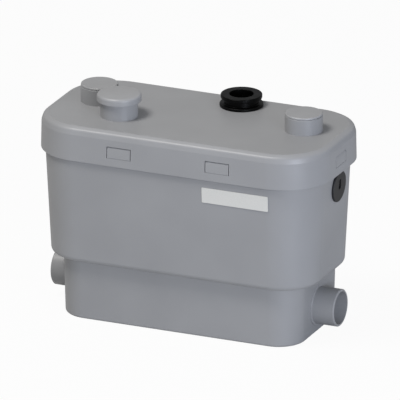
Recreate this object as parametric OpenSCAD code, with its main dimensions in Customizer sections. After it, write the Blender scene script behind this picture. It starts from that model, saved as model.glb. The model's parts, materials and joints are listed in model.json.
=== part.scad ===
// Boxed waste water lifting pump: a sump with a wider motor compartment over it, under a lid
// that lifts off. Millimetres, +Z up. The origin is on the floor under the middle of the lid.
// The front faces -Y, and the cable entry is on the +X end.

/* [Lid] */
// Overall width of the lid
lid_w = 410; // [380:1:440]
// Overall depth of the lid
lid_d = 206; // [200:1:225]
// Plan radius of the lid's corners
lid_corner_r = 69; // [62:1:76]
// Height of the lid's top face above the floor
lid_top_z = 275; // [270:1:290]
// Height of the lid's skirt, from its lower edge to its top face
lid_h = 47; // [42:1:50]
// Wall thickness of the lid
lid_wall = 3.5; // [2.5:0.1:4]
// Radius of the lid's top edge
lid_edge_r = 8; // [5:0.5:10]
// Draft of the lid's skirt, in degrees
lid_draft = 1.2; // [0.5:0.1:2]
// Width of each snap tongue's window in the skirt
clip_w = 34.5; // [26:0.5:40]
// Height of each snap tongue's window
clip_h = 16; // [12:0.5:18]
// Distance of the front and rear snap tongues from the middle
clip_x = 70; // [60:1:90]
// Height of the snap windows above the lid's lower edge
clip_rise = 11.5; // [8:0.5:14]
// Width of the slot round a snap tongue
clip_slot = 1; // [0.6:0.1:1.5]

/* [Tank] */
// How far the lid stands out past the step at each end
lid_overhang_x = 15; // [13:0.5:19]
// How far the lid stands out past the step at the front and at the rear
lid_overhang_y = 13.25; // [12.5:0.25:15]
// Plan radius of the motor compartment's corners at the step
tank_corner_r = 54; // [48:1:60]
// Draft of the motor compartment's walls, in degrees
tank_draft = 2.9; // [2:0.1:3.1]
// Height of the step between sump and motor compartment
step_z = 83; // [78:1:90]
// Radius of the step's outer edge
step_edge_r = 5.5; // [3:0.5:7]
// Wall thickness of the tank
tank_wall = 4; // [3:0.1:4.5]
// How far the step stands out past the sump's foot at each end
step_ledge_x = 20; // [17:0.5:24]
// How far the step stands out past the sump's foot at the front and at the rear
step_ledge_y = 7.75; // [6.75:0.25:9.75]
// Plan radius of the sump's corners at the floor
sump_corner_r = 37.5; // [32:0.5:44]
// Draft of the sump's walls, in degrees
sump_draft = 1.5; // [0.5:0.1:1.6]
// Radius of the sump's bottom edge
sump_edge_r = 3.5; // [2:0.5:4]

/* [Inlets] */
// Outside diameter of the waste pipe spigots
spigot_d = 50; // [44:0.5:52]
// Wall thickness of the spigots
spigot_wall = 3; // [2:0.1:3.5]
// Height of the side spigots' axis above the floor
inlet_z = 38; // [35:0.5:42]
// Length of each side spigot beyond the sump's foot
inlet_l = 33; // [26:1:34]
// Distance of the top spigots from the ends of the lid
top_spigot_inset = 59; // [55:1:61]
// Distance of the top spigots behind the middle
top_spigot_y = 9; // [4:1:14]
// Height of the top spigots above the lid
top_spigot_h = 21.5; // [18:0.5:26]
// Thickness of a blanking cap's rim
blank_rim = 3; // [2:0.5:5]
// Depth that a blanking cap's plug reaches into its spigot
blank_plug = 12; // [8:1:14]

/* [Vent] */
// Place of the vent spigot across the lid
vent_x = -98.5; // [-102:0.5:-95]
// Place of the vent spigot, from the middle towards the front
vent_y = -35; // [-38:1:-30]
// Height of the vent spigot above the lid
vent_spigot_h = 23.5; // [20:0.5:28]
// Diameter of the vent cap's brim
vent_cap_d = 59; // [56:1:66]
// Thickness of the vent cap's brim
vent_cap_h = 8.5; // [6:0.5:10]
// Outside diameter of the vent tube
vent_tube_d = 22; // [16:1:24]
// Thickness of the vent's filter pad
filter_h = 9; // [6:0.5:10]

/* [Discharge] */
// Place of the discharge across the lid
outlet_x = 33; // [31:0.5:34]
// Distance of the discharge from the rear of the lid
outlet_inset = 37.5; // [37:0.5:40]
// Outside diameter of the discharge pipe that the collar takes
outlet_pipe_d = 32; // [28:1:34]
// Outside diameter of the riser inside the tank
riser_d = 26; // [24:0.5:26.5]
// Wall thickness of the riser
riser_wall = 2.5; // [2:0.1:3]
// Diameter of the collar's lower flange
collar_flange_d = 58; // [54:1:62]
// Thickness of the collar's lower flange
collar_flange_h = 4; // [3:0.5:5]
// Diameter of the collar's neck, where a hose clip goes
collar_neck_d = 46.5; // [44:0.5:48]
// Diameter of the collar's top bead
collar_bead_d = 55; // [52:1:58]
// Height of the collar above the lid
collar_h = 16.4; // [14:0.2:20]
// Thickness of the collar's top bead
collar_bead_h = 5.4; // [4:0.2:6.4]
// Diameter of the ball in the check valve
ball_d = 22; // [20:0.5:23]
// Travel of the check valve's ball
ball_lift = 10; // [8:0.5:12]

/* [Cable entry] */
// Diameter of the cable grommet's outer flange
grommet_d = 42; // [36:1:46]
// Thickness of the cable grommet's outer flange
grommet_h = 3; // [2:0.5:4]
// Height of the cable entry above the floor
grommet_z = 205.5; // [200:0.5:210]
// Place of the cable entry behind the middle
grommet_y = 5; // [0:1:10]
// Diameter of the cable hole
cable_d = 7.6; // [6:0.2:9]

/* [Label] */
// Width of the label plate
label_w = 94; // [70:1:110]
// Height of the label plate
label_h = 21; // [15:0.5:26]
// Thickness of the label plate
label_t = 0.8; // [0.5:0.1:1.5]
// Distance of the label plate's middle to the right of the middle
label_x = 94; // [80:1:110]
// Height of the label plate's middle above the floor
label_z = 206.5; // [200:0.5:210]

/* [Deck] */
// Thickness of the deck plate over the sump
deck_t = 4; // [3:0.5:5]
// Height of the rubber under the deck plate
deck_seal_h = 2; // [1.5:0.1:3]
// Width of the rubber edging round the deck plate
deck_seal_w = 4; // [3:0.5:4]

/* [Pump] */
// Place of the pump's axis, from the middle towards the front
pump_y = -2; // [-4:0.5:0]
// Radius of the impeller
impeller_r = 40; // [36:0.5:40]
// Height of the impeller's vanes
vane_h = 17; // [14:0.5:18]
// Number of the impeller's vanes
vane_count = 5; // [4:1:7]
// Smallest inside radius of the volute
volute_r = 42.5; // [42:0.5:43]
// Growth of the volute's radius in each quarter turn
volute_step = 4.2; // [3.8:0.1:4.4]
// Wall thickness of the pump casing
casing_wall = 4; // [3:0.1:4.4]
// Clear height under the suction plate
suction_gap = 12; // [11:0.5:13]
// Radius of the suction eye
eye_r = 15; // [12:0.5:17]

/* [Motor] */
// Outside radius of the motor housing
motor_r = 50; // [46:0.5:50]
// Reach of the housing's cooling fins beyond the housing
fin_reach = 6; // [3:0.5:6.5]
// Number of cooling fins
fin_count = 24; // [16:1:30]
// Height of the motor housing
motor_h = 124; // [118:1:130]
// Radius of the rotor
rotor_r = 28; // [24:0.5:29]
// Length of the rotor and stator cores
core_h = 60; // [50:1:64]
// Radius of the shaft at its bearings
shaft_r = 6; // [5:0.5:6.5]
// Outside radius of the ball bearings
bearing_r = 16; // [14:0.5:17]
// Width of the ball bearings
bearing_h = 10; // [8:0.5:11]

/* [Pressure switch] */
// Place of the pressure switch across the tank
switch_x = 84; // [82:0.5:85]
// Place of the pressure switch behind the middle
switch_y = 20; // [17:0.5:22]
// Outside radius of the pressure bell
bell_r = 20; // [17:0.5:21]
// Outside radius of the switch housing
switch_r = 31; // [28:0.5:32]
// Travel of the switch plunger
plunger_travel = 2; // [1:0.1:2.5]

/* [Electrics] */
// Diameter of the capacitor
capacitor_d = 40; // [34:0.5:42]
// Height of the capacitor
capacitor_h = 78; // [65:1:90]
// Length of the terminal box
box_l = 44; // [38:0.5:46]
// Width of the terminal box
box_w = 32; // [28:0.5:34]
// Height of the terminal box
box_h = 36; // [30:0.5:42]

/* [Hidden] */
$fn = 72;

// Colours
body_grey = [0.56, 0.565, 0.58];
cap_grey = [0.55, 0.555, 0.57];
rubber_black = [0.04, 0.04, 0.045];
grommet_grey = [0.2, 0.2, 0.21];
plate_white = [0.83, 0.83, 0.81];
deck_grey = [0.42, 0.43, 0.45];
pump_black = [0.13, 0.13, 0.14];
pipe_white = [0.82, 0.82, 0.8];
steel = [0.7, 0.71, 0.73];
zinc = [0.75, 0.75, 0.77];
aluminium = [0.66, 0.67, 0.69];
lamination = [0.35, 0.36, 0.38];
copper = [0.72, 0.4, 0.2];
seal_ceramic = [0.86, 0.83, 0.76];
brass = [0.75, 0.6, 0.3];
block_cream = [0.87, 0.83, 0.72];
felt_dark = [0.16, 0.16, 0.15];

// Angles
quarter = 90;
half_turn = 180;
full_turn = 360;
bevel_angle = 45;

// Clearances and small sizes that several pieces share
overrun = 1;
fit_gap = 0.3;
seat_gap = 0.1;
running_gap = 0.05;
edge_chamfer = 1.5;

// Where the upper walls run
lid_low_z = lid_top_z - lid_h;
lid_half_x = lid_w / 2 - lid_corner_r;
lid_half_y = lid_d / 2 - lid_corner_r;
lid_crown_r = lid_corner_r - lid_h * tan(lid_draft);
lid_under_z = lid_top_z - lid_wall;
tank_w = lid_w - 2 * lid_overhang_x;
tank_d = lid_d - 2 * lid_overhang_y;
tank_shift_y = -2.5;
shoulder_gap = 1;
shoulder_z = lid_low_z - shoulder_gap;
tank_half_x = tank_w / 2 - tank_corner_r;
tank_half_y = tank_d / 2 - tank_corner_r;
shoulder_r = tank_corner_r + (shoulder_z - step_z) * tan(tank_draft);
neck_inset = 2.5;
neck_r = shoulder_r - neck_inset;
rim_gap = 7.5;
rim_z = lid_under_z - rim_gap;
tank_inner_r = tank_corner_r - tank_wall;
neck_inner_r = neck_r - tank_wall;
ledge_z = step_z + tank_wall;

// Where the sump's walls run
sump_w = tank_w - 2 * step_ledge_x;
sump_d = tank_d - 2 * step_ledge_y;
sump_shift_y = 3;
sump_half_x = sump_w / 2 - sump_corner_r;
sump_half_y = sump_d / 2 - sump_corner_r;
sump_inner_r = sump_corner_r - tank_wall;

// Distance from the floor's middle to the outer face of a wall at a height
function tank_r(z) = tank_corner_r + (z - step_z) * tan(tank_draft);
function tank_end_x(z) = tank_half_x + tank_r(z);
function tank_front_y(z) = tank_shift_y - tank_half_y - tank_r(z);
function inner_r(z) = tank_inner_r + (z - ledge_z) * (neck_inner_r - tank_inner_r) / (shoulder_z - ledge_z);
function sump_end_x(z) = sump_half_x + sump_inner_r + z * tan(sump_draft);

// Snap tongues: each site is its place on the skirt's lower edge line, its turn, and how far
// behind the skirt's face the tank's neck lies there
clip_end_y = -4;
clip_z = lid_low_z + clip_rise;
clip_bevel = 1.2;
clip_line = 0.5;
neck_front_gap = lid_d / 2 + tank_shift_y - tank_half_y - neck_r;
neck_rear_gap = lid_d / 2 - tank_shift_y - tank_half_y - neck_r;
neck_end_gap = lid_w / 2 - tank_half_x - neck_r;
clip_sites = [
    [-clip_x, -lid_d / 2, half_turn, neck_front_gap],
    [clip_x, -lid_d / 2, half_turn, neck_front_gap],
    [-clip_x, lid_d / 2, 0, neck_rear_gap],
    [clip_x, lid_d / 2, 0, neck_rear_gap],
    [lid_w / 2, clip_end_y, -quarter, neck_end_gap],
    [-lid_w / 2, clip_end_y, quarter, neck_end_gap]
];
lug_face = lid_wall + lid_h * tan(lid_draft) / 2 + fit_gap;
lug_margin = 3;

// Spigots
spigot_r = spigot_d / 2;
bore_r = spigot_r - spigot_wall;
spigot_chamfer = 1;
inlet_reach = sump_w / 2 + inlet_l;
inlet_root_l = 2.5;
inlet_root_w = 2.5;
inlet_root_x = sump_w / 2 + inlet_root_l;
top_spigot_x = lid_w / 2 - top_spigot_inset;
top_spigot_z = lid_top_z + top_spigot_h;
blank_rim_inset = 0.3;
plug_r = bore_r - fit_gap;
plug_wall = 2.5;

// Ribs under the lid
lid_rib_space = 10;
lid_rib_xs = [outlet_x - collar_flange_d / 2 - spigot_d, outlet_x + collar_flange_d / 2 + lid_rib_space];
lid_rib_t = 2.5;
lid_rib_l = 150;
lid_rib_h = 4.5;
lid_seal_inset = 2;

// Cable entry
grommet_lip = 5;
grommet_neck_r = grommet_d / 2 - grommet_lip;
grommet_nut_h = 4;
grommet_slot_h = 10;
grommet_slot_share = 0.8;
grommet_wall = fit_gap + tank_r(grommet_z) - inner_r(grommet_z);
grommet_neck_l = grommet_wall + grommet_nut_h;

// Deck
deck_z = ledge_z + deck_seal_h;
deck_top_z = deck_z + deck_t;
deck_r = inner_r(deck_z) - fit_gap - deck_seal_w / 2;
socket_h = 8;
socket_wall = 4;
screw_r = 2;
screw_head_r = 4;
screw_head_h = 3;
screw_top_share = 0.8;
screw_slot = 1;
screw_slot_depth = 1.2;
deck_boss_r = 5;
deck_screw_x = sump_end_x(step_z) + screw_head_r + edge_chamfer;
deck_screw_pitch = 80;
bush_t = 4;
deck_rib_t = 3;
deck_rib_h = 5;
deck_rib_x = 112;
deck_rib_l = 130;

// Drop tubes and vent
drop_r = bore_r - fit_gap;
drop_wall = 2;
drop_low_z = deck_z - socket_h;
drop_top_z = top_spigot_z - blank_plug - spigot_wall;
vent_tube_r = vent_tube_d / 2;
vent_tube_wall = 2;
vent_spigot_z = lid_top_z + vent_spigot_h;
filter_z = lid_top_z + spigot_wall;
vent_tube_top_z = filter_z - spigot_wall / 2;
vent_plug_h = 9;
vent_cap_z = vent_spigot_z + fit_gap;
vent_cap_edge_r = 3;
vent_crown = 1;

// Side inlet flaps
seat_t = 3;
seat_r = spigot_r + 1.5 * edge_chamfer;
seat_sleeve = 22;
seat_face_x = sump_end_x(inlet_z - seat_r) - fit_gap;
flap_t = 2.5;
flap_r = bore_r + edge_chamfer;
flap_face_x = seat_face_x - seat_t - fit_gap;
pin_r = 1.5;
knuckle_r = 3.2;
hinge_z = inlet_z + seat_r + knuckle_r;
hinge_x = flap_face_x - flap_t / 2;
knuckle_w = 15;
ear_w = 4;
ear_gap = 0.4;

// Pump
suction_z = tank_wall + suction_gap;
casing_floor_z = suction_z;
vane_gap = 1;
vane_low_z = casing_floor_z + casing_wall + vane_gap;
vane_top_z = vane_low_z + vane_h;
hub_plate_t = 3;
hub_plate_gap = 3;
casing_top_z = vane_top_z + hub_plate_t + hub_plate_gap;
vane_t = 3;
hub_r = 10;
riser_r = riser_d / 2;
riser_bore_r = riser_r - riser_wall;
outlet_z = casing_floor_z + riser_r;
bend_inner_r = 7;
bend_r = riser_r + bend_inner_r;
outlet_off_x = volute_r + 3.5 * volute_step - riser_bore_r;
outlet_y = lid_d / 2 - outlet_inset;
pump_x = outlet_x - outlet_off_x;
elbow_y = outlet_y - bend_r;
elbow_stub = 3;
volute_outlet_y = elbow_y - elbow_stub;
socket_depth = 10;
flange_t = 4;
column_r = 20;
column_bore_r = 15;
column_flange_r = 33;
volute_half = volute_step / 2;
volute_corners = [
    [-volute_half, volute_half],
    [-volute_half, -volute_half],
    [volute_half, -volute_half],
    [volute_half, volute_half]
];
screw_ear_r = 6;
ear_angle = 60;
casing_screw_l = 14;
strainer_bars = 16;
strainer_bar_t = 3;
strainer_r = 34;
strainer_ring_h = 2;
vane_bend_r = 30;
vane_start_angle = 10;
vane_sweep = 60;

// Motor
buffer_h = 8;
buffer_r = 8;
motor_z = deck_top_z + buffer_h;
flange_ear_r = 9;
flange_pcr = 60;
flange_turn = 35;
motor_flange_t = 6;
housing_wall = 4;
bearing_seat_wall = 4;
lower_bearing_z = motor_z + motor_flange_t;
motor_top_z = motor_z + motor_h;
end_cap_h = 14;
cap_ear_h = 18;
cap_screw_l = 18;
bearing_ring_t = 3;
upper_bearing_z = motor_top_z - housing_wall;
core_z = (lower_bearing_z + bearing_h + upper_bearing_z - core_h) / 2;
air_gap = 0.5;
stator_bore_r = rotor_r + air_gap;
stator_r = motor_r - housing_wall - seat_gap;
slot_count = 12;
slot_w = 7;
slot_depth = 9;
slot_lip = 2;
end_turn_h = 15;
fin_t = 2.5;
fin_margin = 8;
shaft_step = 1;
shaft_body_r = shaft_r + 2 * shaft_step;
shaft_nose_r = shaft_r - shaft_step;
end_ring_h = 5;
end_ring_share = 0.9;
seal_h = 10;
seal_z = casing_top_z + flange_t;

// Check valve and riser
valve_z = deck_top_z + socket_h + fit_gap;
valve_wall = 2;
valve_swell = 2.5;
valve_r = riser_r + valve_swell;
valve_bore_r = valve_r - valve_wall;
ball_r = ball_d / 2;
ball_seat_w = 2;
ball_seat_r = ball_r - ball_seat_w;
ball_z = valve_z + socket_depth + sqrt(pow(ball_r, 2) - pow(ball_seat_r, 2)) + seat_gap;
stop_z = ball_z + ball_r + ball_lift + 2 * fit_gap;
valve_top_z = stop_z + 2 * socket_depth;
stop_t = 2;
stop_w = 3;
seat_plate_t = 3;
elbow_top_z = valve_z + socket_depth - seat_plate_t - fit_gap;
collar_under = 14;
collar_low_z = lid_under_z - collar_under;
riser_top_z = lid_top_z - socket_depth;
collar_top_z = lid_top_z + collar_h;
collar_bead_z = collar_top_z - collar_bead_h;
collar_sleeve_wall = 2.5;
collar_sleeve_r = outlet_pipe_d / 2 + collar_sleeve_wall;
collar_hole_r = collar_sleeve_r + fit_gap;
collar_lock_h = 3;

// Pressure switch
bell_wall = 3;
bell_low_z = suction_z + suction_gap;
switch_flange_t = 4;
switch_flange_inset = 1;
switch_flange_r = switch_r - switch_flange_inset;
diaphragm_z = deck_top_z + switch_flange_t;
diaphragm_t = 2;
cover_z = diaphragm_z + diaphragm_t;
cover_h = 18;
cover_wall = 3;
plunger_r = 4;
plunger_plate_r = 14;
plunger_plate_t = 2;
post_r = 3;
post_h = 5;
post_x = 9;
micro_l = 28;
micro_w = 11;
micro_h = 16;
micro_z = cover_z + cover_h + post_h;
micro_hole_depth = plunger_travel + 2 * overrun;
plunger_top_z = micro_z + overrun / 2;
terminal_w = 1;
terminal_l = 6;

// Electrics
capacitor_x = 62;
capacitor_y = -48;
clip_band_t = 2;
clip_band_h = 14;
clip_foot_w = 12;
box_x = 112;
box_y = -56;
box_wall = 2;
block_l = 34;
block_w = 18;
block_h = 14;
pole_count = 4;
pole_r = 2.6;
cover_lip = 3;

// Rounded-rectangle sweep. The profile's x runs outward from the corner centres, its y is height
module sweep_walls(half_x, half_y) {
    for (q = [0:3]) {
        hx = q % 2 == 0 ? half_x : half_y;
        hy = q % 2 == 0 ? half_y : half_x;
        rotate(quarter * q) translate([hx, hy, 0]) {
            rotate_extrude(angle = quarter) children();
            rotate([quarter, 0, 0]) linear_extrude(2 * hy) children();
        }
    }
}

module sweep_block(half_x, half_y, z_low, z_high) {
    sweep_walls(half_x, half_y) children();
    translate([-half_x, -half_y, z_low]) cube([2 * half_x, 2 * half_y, z_high - z_low]);
}

module rounded_rect(half_x, half_y, r) {
    square([2 * half_x, 2 * (half_y + r)], center = true);
    square([2 * (half_x + r), 2 * half_y], center = true);
    for (sx = [-1, 1], sy = [-1, 1]) translate([sx * half_x, sy * half_y]) circle(r);
}

// Outline of a drafted wall over a rounded lower edge
module drafted_profile(r_low, draft, z_low, z_high, edge_r) {
    centre_x = r_low - edge_r * (1 - sin(draft)) / cos(draft);
    wall_x = centre_x + edge_r * cos(draft);
    wall_z = z_low + edge_r - edge_r * sin(draft);
    polygon([
        [0, z_low],
        [centre_x, z_low],
        [wall_x, wall_z],
        [r_low + (z_high - z_low) * tan(draft), z_high],
        [0, z_high]
    ]);
    translate([centre_x, z_low + edge_r]) circle(edge_r);
}

module tube(r, bore, h) {
    difference() {
        cylinder(r = r, h = h);
        translate([0, 0, -overrun]) cylinder(r = bore, h = h + 2 * overrun);
    }
}

module chamfered_rod(r, h, chamfer) {
    cylinder(r = r, h = h - chamfer);
    translate([0, 0, h - chamfer]) cylinder(r1 = r, r2 = r - chamfer, h = chamfer);
}

module pan_screw(length) {
    difference() {
        union() {
            translate([0, 0, -length]) cylinder(r = screw_r, h = length);
            cylinder(r1 = screw_head_r, r2 = screw_head_r * screw_top_share, h = screw_head_h);
        }
        for (a = [0, quarter]) {
            rotate(a) translate([-screw_r, -screw_slot / 2, screw_head_h - screw_slot_depth])
                cube([2 * screw_r, screw_slot, screw_slot_depth + overrun]);
        }
    }
}

module at_clips() {
    for (s = clip_sites) translate([s[0], s[1], clip_z]) rotate(s[2]) children();
}

module tank() {
    color(body_grey) difference() {
        union() {
            translate([0, tank_shift_y, 0]) {
                sweep_block(tank_half_x, tank_half_y, step_z, shoulder_z)
                    drafted_profile(tank_corner_r, tank_draft, step_z, shoulder_z, step_edge_r);
                translate([0, 0, shoulder_z]) linear_extrude(rim_z - shoulder_z)
                    rounded_rect(tank_half_x, tank_half_y, neck_r);
            }
            translate([0, sump_shift_y, 0]) sweep_block(sump_half_x, sump_half_y, 0, step_z + tank_wall / 2)
                drafted_profile(sump_corner_r, sump_draft, 0, step_z + tank_wall / 2, sump_edge_r);
            for (side = [0, 1]) mirror([side, 0, 0]) translate([sump_half_x, 0, inlet_z])
                rotate([0, quarter, 0]) {
                    chamfered_rod(spigot_r, inlet_reach - sump_half_x, spigot_chamfer);
                    cylinder(r = spigot_r + inlet_root_w, h = inlet_root_x - sump_half_x);
                }
            for (s = clip_sites) translate([s[0], s[1], clip_z]) rotate(s[2])
                translate([-clip_w / 2 + lug_margin, -s[3] - tank_wall / 2, lug_margin])
                    cube([clip_w - 2 * lug_margin, s[3] + tank_wall / 2 - lug_face, clip_h - 2 * lug_margin]);
        }
        translate([0, tank_shift_y, 0]) sweep_block(tank_half_x, tank_half_y, ledge_z, rim_z + overrun)
            polygon([
                [0, ledge_z],
                [tank_inner_r, ledge_z],
                [neck_inner_r, shoulder_z],
                [neck_inner_r, rim_z + overrun],
                [0, rim_z + overrun]
            ]);
        translate([0, sump_shift_y, 0]) sweep_block(sump_half_x, sump_half_y, tank_wall, ledge_z + overrun)
            drafted_profile(sump_inner_r, sump_draft, tank_wall, ledge_z + overrun, sump_edge_r);
        translate([-inlet_reach - overrun, 0, inlet_z]) rotate([0, quarter, 0])
            cylinder(r = bore_r, h = 2 * (inlet_reach + overrun));
        at_grommet() translate([0, 0, -2 * grommet_wall])
            cylinder(r = grommet_neck_r + fit_gap, h = 3 * grommet_wall);
        at_deck_screws() translate([0, 0, step_z + overrun - deck_top_z])
            cylinder(r = screw_r + running_gap, h = deck_t * 3);
    }
    color(body_grey) at_deck_screws() translate([0, 0, ledge_z - deck_top_z])
        tube(deck_boss_r, screw_r + running_gap, deck_seal_h);
}

module lid() {
    color(body_grey) difference() {
        union() {
            sweep_block(lid_half_x, lid_half_y, lid_low_z, lid_top_z)
                translate([0, lid_low_z + lid_top_z]) mirror([0, 1])
                    drafted_profile(lid_crown_r, lid_draft, lid_low_z, lid_top_z, lid_edge_r);
            for (side = [-1, 1]) translate([side * top_spigot_x, top_spigot_y, lid_under_z])
                cylinder(r = spigot_r, h = top_spigot_z - lid_under_z);
            translate([vent_x, vent_y, lid_under_z])
                cylinder(r = spigot_r, h = vent_spigot_z - lid_under_z);
        }
        difference() {
            sweep_block(lid_half_x, lid_half_y, lid_low_z - overrun, lid_under_z)
                translate([0, lid_low_z - overrun + lid_under_z]) mirror([0, 1])
                    drafted_profile(
                        lid_crown_r - lid_wall, lid_draft, lid_low_z - overrun, lid_under_z,
                        lid_edge_r - lid_wall
                    );
            for (x = lid_rib_xs) translate([x - lid_rib_t / 2, -lid_rib_l / 2, lid_under_z - lid_rib_h])
                cube([lid_rib_t, lid_rib_l, lid_rib_h + overrun]);
        }
        for (side = [-1, 1]) translate([side * top_spigot_x, top_spigot_y, lid_under_z - overrun])
            cylinder(r = bore_r, h = lid_h);
        translate([vent_x, vent_y, lid_under_z - overrun]) cylinder(r = bore_r, h = lid_h);
        translate([outlet_x, outlet_y, lid_under_z - overrun]) cylinder(r = collar_hole_r, h = lid_h);
        at_clips() clip_cut();
    }
}

// Slot round a snap tongue, with a bevel along the tongue's top and a shallow line at its root.
// The face of the skirt is at y = 0, and y runs outward
module clip_cut() {
    depth = lid_wall + lid_h * tan(lid_draft) + overrun;
    translate([-clip_w / 2, -depth, clip_h - clip_slot]) cube([clip_w, depth + overrun, clip_slot]);
    for (side = [0, 1]) mirror([side, 0, 0]) translate([clip_w / 2 - clip_slot, -depth, 0])
        cube([clip_slot, depth + overrun, clip_h]);
    translate([-clip_w / 2, -clip_line, 0]) cube([clip_w, clip_line + overrun, clip_line]);
    translate([-clip_w / 2, -clip_h * tan(lid_draft), clip_h - clip_slot - clip_bevel])
        rotate([bevel_angle, 0, 0])
        cube([clip_w, 2 * clip_bevel, 2 * clip_bevel]);
}

module lid_seal() {
    color(rubber_black) translate([0, tank_shift_y, rim_z]) linear_extrude(rim_gap - fit_gap) difference() {
        rounded_rect(tank_half_x, tank_half_y, neck_r - lid_seal_inset);
        rounded_rect(tank_half_x, tank_half_y, neck_inner_r);
    }
}

module blanking_cap() {
    color(cap_grey) translate([0, 0, top_spigot_z]) {
        chamfered_rod(spigot_r - blank_rim_inset, blank_rim, edge_chamfer);
        translate([0, 0, -blank_plug]) tube(plug_r, plug_r - plug_wall, blank_plug);
    }
}

module left_blanking_cap() {
    translate([-top_spigot_x, top_spigot_y, fit_gap / 2]) blanking_cap();
}

module right_blanking_cap() {
    translate([top_spigot_x, top_spigot_y, fit_gap / 2]) blanking_cap();
}

module vent_cap() {
    brim_r = vent_cap_d / 2;
    color(cap_grey) translate([vent_x, vent_y, vent_cap_z]) {
        rotate_extrude() {
            square([brim_r, vent_cap_h - vent_cap_edge_r]);
            square([brim_r - vent_cap_edge_r, vent_cap_h]);
            translate([brim_r - vent_cap_edge_r, vent_cap_h - vent_cap_edge_r]) circle(vent_cap_edge_r);
        }
        translate([0, 0, -vent_plug_h]) tube(plug_r, plug_r - plug_wall, vent_plug_h);
        translate([0, 0, vent_cap_h])
            cylinder(r1 = brim_r - vent_cap_edge_r, r2 = brim_r / 2, h = vent_crown);
    }
}

module vent_filter() {
    color(felt_dark) translate([vent_x, vent_y, filter_z]) cylinder(r = plug_r, h = filter_h);
}

module vent_tube() {
    color(pipe_white) translate([vent_x, vent_y, deck_z])
        tube(vent_tube_r, vent_tube_r - vent_tube_wall, vent_tube_top_z - deck_z);
}

// Rubber spool on the lid: the discharge pipe goes in from above, the riser from below
module discharge_collar() {
    color(rubber_black) translate([outlet_x, outlet_y, 0]) difference() {
        union() {
            translate([0, 0, collar_low_z]) cylinder(r = collar_sleeve_r, h = collar_top_z - collar_low_z);
            translate([0, 0, lid_top_z]) cylinder(r = collar_neck_d / 2, h = collar_h - edge_chamfer);
            translate([0, 0, lid_top_z])
                chamfered_rod(collar_flange_d / 2, collar_flange_h, edge_chamfer / 2);
            translate([0, 0, collar_bead_z])
                chamfered_rod(collar_bead_d / 2, collar_bead_h, edge_chamfer / 2);
            translate([0, 0, lid_under_z - collar_lock_h - fit_gap])
                cylinder(r = collar_hole_r + collar_lock_h / 2, h = collar_lock_h);
        }
        translate([0, 0, collar_low_z - overrun])
            cylinder(r = riser_r + seat_gap, h = riser_top_z + overrun - collar_low_z + seat_gap);
        translate([0, 0, riser_top_z + collar_lock_h]) cylinder(r = outlet_pipe_d / 2, h = lid_h);
        translate([0, 0, collar_low_z]) cylinder(r = riser_bore_r, h = lid_h);
    }
}

module label_plate() {
    color(plate_white) translate([label_x, tank_front_y(label_z), label_z]) rotate([tank_draft, 0, 0])
        translate([-label_w / 2, -label_t, -label_h / 2]) cube([label_w, label_t - running_gap, label_h]);
}

// The cable entry's frame: z points out of the end wall, x points down
module at_grommet() {
    translate([tank_end_x(grommet_z), grommet_y, grommet_z]) rotate([0, quarter + tank_draft, 0])
        children();
}

module cable_grommet() {
    color(grommet_grey) at_grommet() difference() {
        union() {
            translate([0, 0, seat_gap]) chamfered_rod(grommet_d / 2, grommet_h, spigot_chamfer);
            translate([0, 0, -grommet_neck_l]) cylinder(r = grommet_neck_r, h = grommet_neck_l + overrun);
        }
        translate([0, 0, -grommet_neck_l - overrun])
            cylinder(r = cable_d / 2, h = grommet_neck_l + grommet_h + 3 * overrun);
        translate([-grommet_slot_h, -cable_d * grommet_slot_share / 2, grommet_h / 2])
            cube([grommet_slot_h, cable_d * grommet_slot_share, grommet_h]);
    }
}

module grommet_nut() {
    color(grommet_grey) at_grommet() translate([0, 0, -grommet_neck_l]) difference() {
        cylinder(r = grommet_d / 2, h = grommet_nut_h, $fn = 6);
        translate([0, 0, -overrun])
            cylinder(r = grommet_neck_r + running_gap, h = grommet_nut_h + 2 * overrun);
    }
}

module at_deck_screws() {
    for (side = [-1, 1], along = [-1, 1])
        translate([side * deck_screw_x, tank_shift_y + along * deck_screw_pitch / 2, deck_top_z])
            children();
}

module deck_plate() {
    color(deck_grey) difference() {
        union() {
            translate([0, tank_shift_y, deck_z]) linear_extrude(deck_t)
                rounded_rect(tank_half_x, tank_half_y, deck_r);
            for (side = [-1, 1]) translate([side * top_spigot_x, top_spigot_y, deck_z])
                cylinder(r = drop_r + socket_wall, h = deck_t + socket_h);
            translate([vent_x, vent_y, deck_z])
                cylinder(r = vent_tube_r + socket_wall, h = deck_t + socket_h);
            for (side = [-1, 1]) translate([side * deck_rib_x, tank_shift_y, deck_z - deck_rib_h])
                translate([-deck_rib_t / 2, -deck_rib_l / 2, 0])
                cube([deck_rib_t, deck_rib_l, deck_rib_h + deck_t]);
        }
        for (side = [-1, 1]) translate([side * top_spigot_x, top_spigot_y, deck_z - overrun])
            cylinder(r = drop_r + seat_gap, h = lid_h);
        translate([vent_x, vent_y, deck_z - overrun]) cylinder(r = vent_tube_r + seat_gap, h = lid_h);
        translate([outlet_x, outlet_y, deck_z - overrun]) cylinder(r = riser_r + seat_gap, h = lid_h);
        translate([pump_x, pump_y, deck_z - overrun]) cylinder(r = column_r + bush_t, h = lid_h);
        translate([switch_x, switch_y, deck_z - overrun]) cylinder(r = bell_r + seat_gap, h = lid_h);
        at_deck_screws() translate([0, 0, -deck_t - overrun])
            cylinder(r = screw_r + fit_gap, h = deck_t + 2 * overrun);
        at_motor_ears() translate([0, 0, deck_z - overrun])
            cylinder(r = screw_r + running_gap, h = deck_t + 2 * overrun);
    }
}

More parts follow.
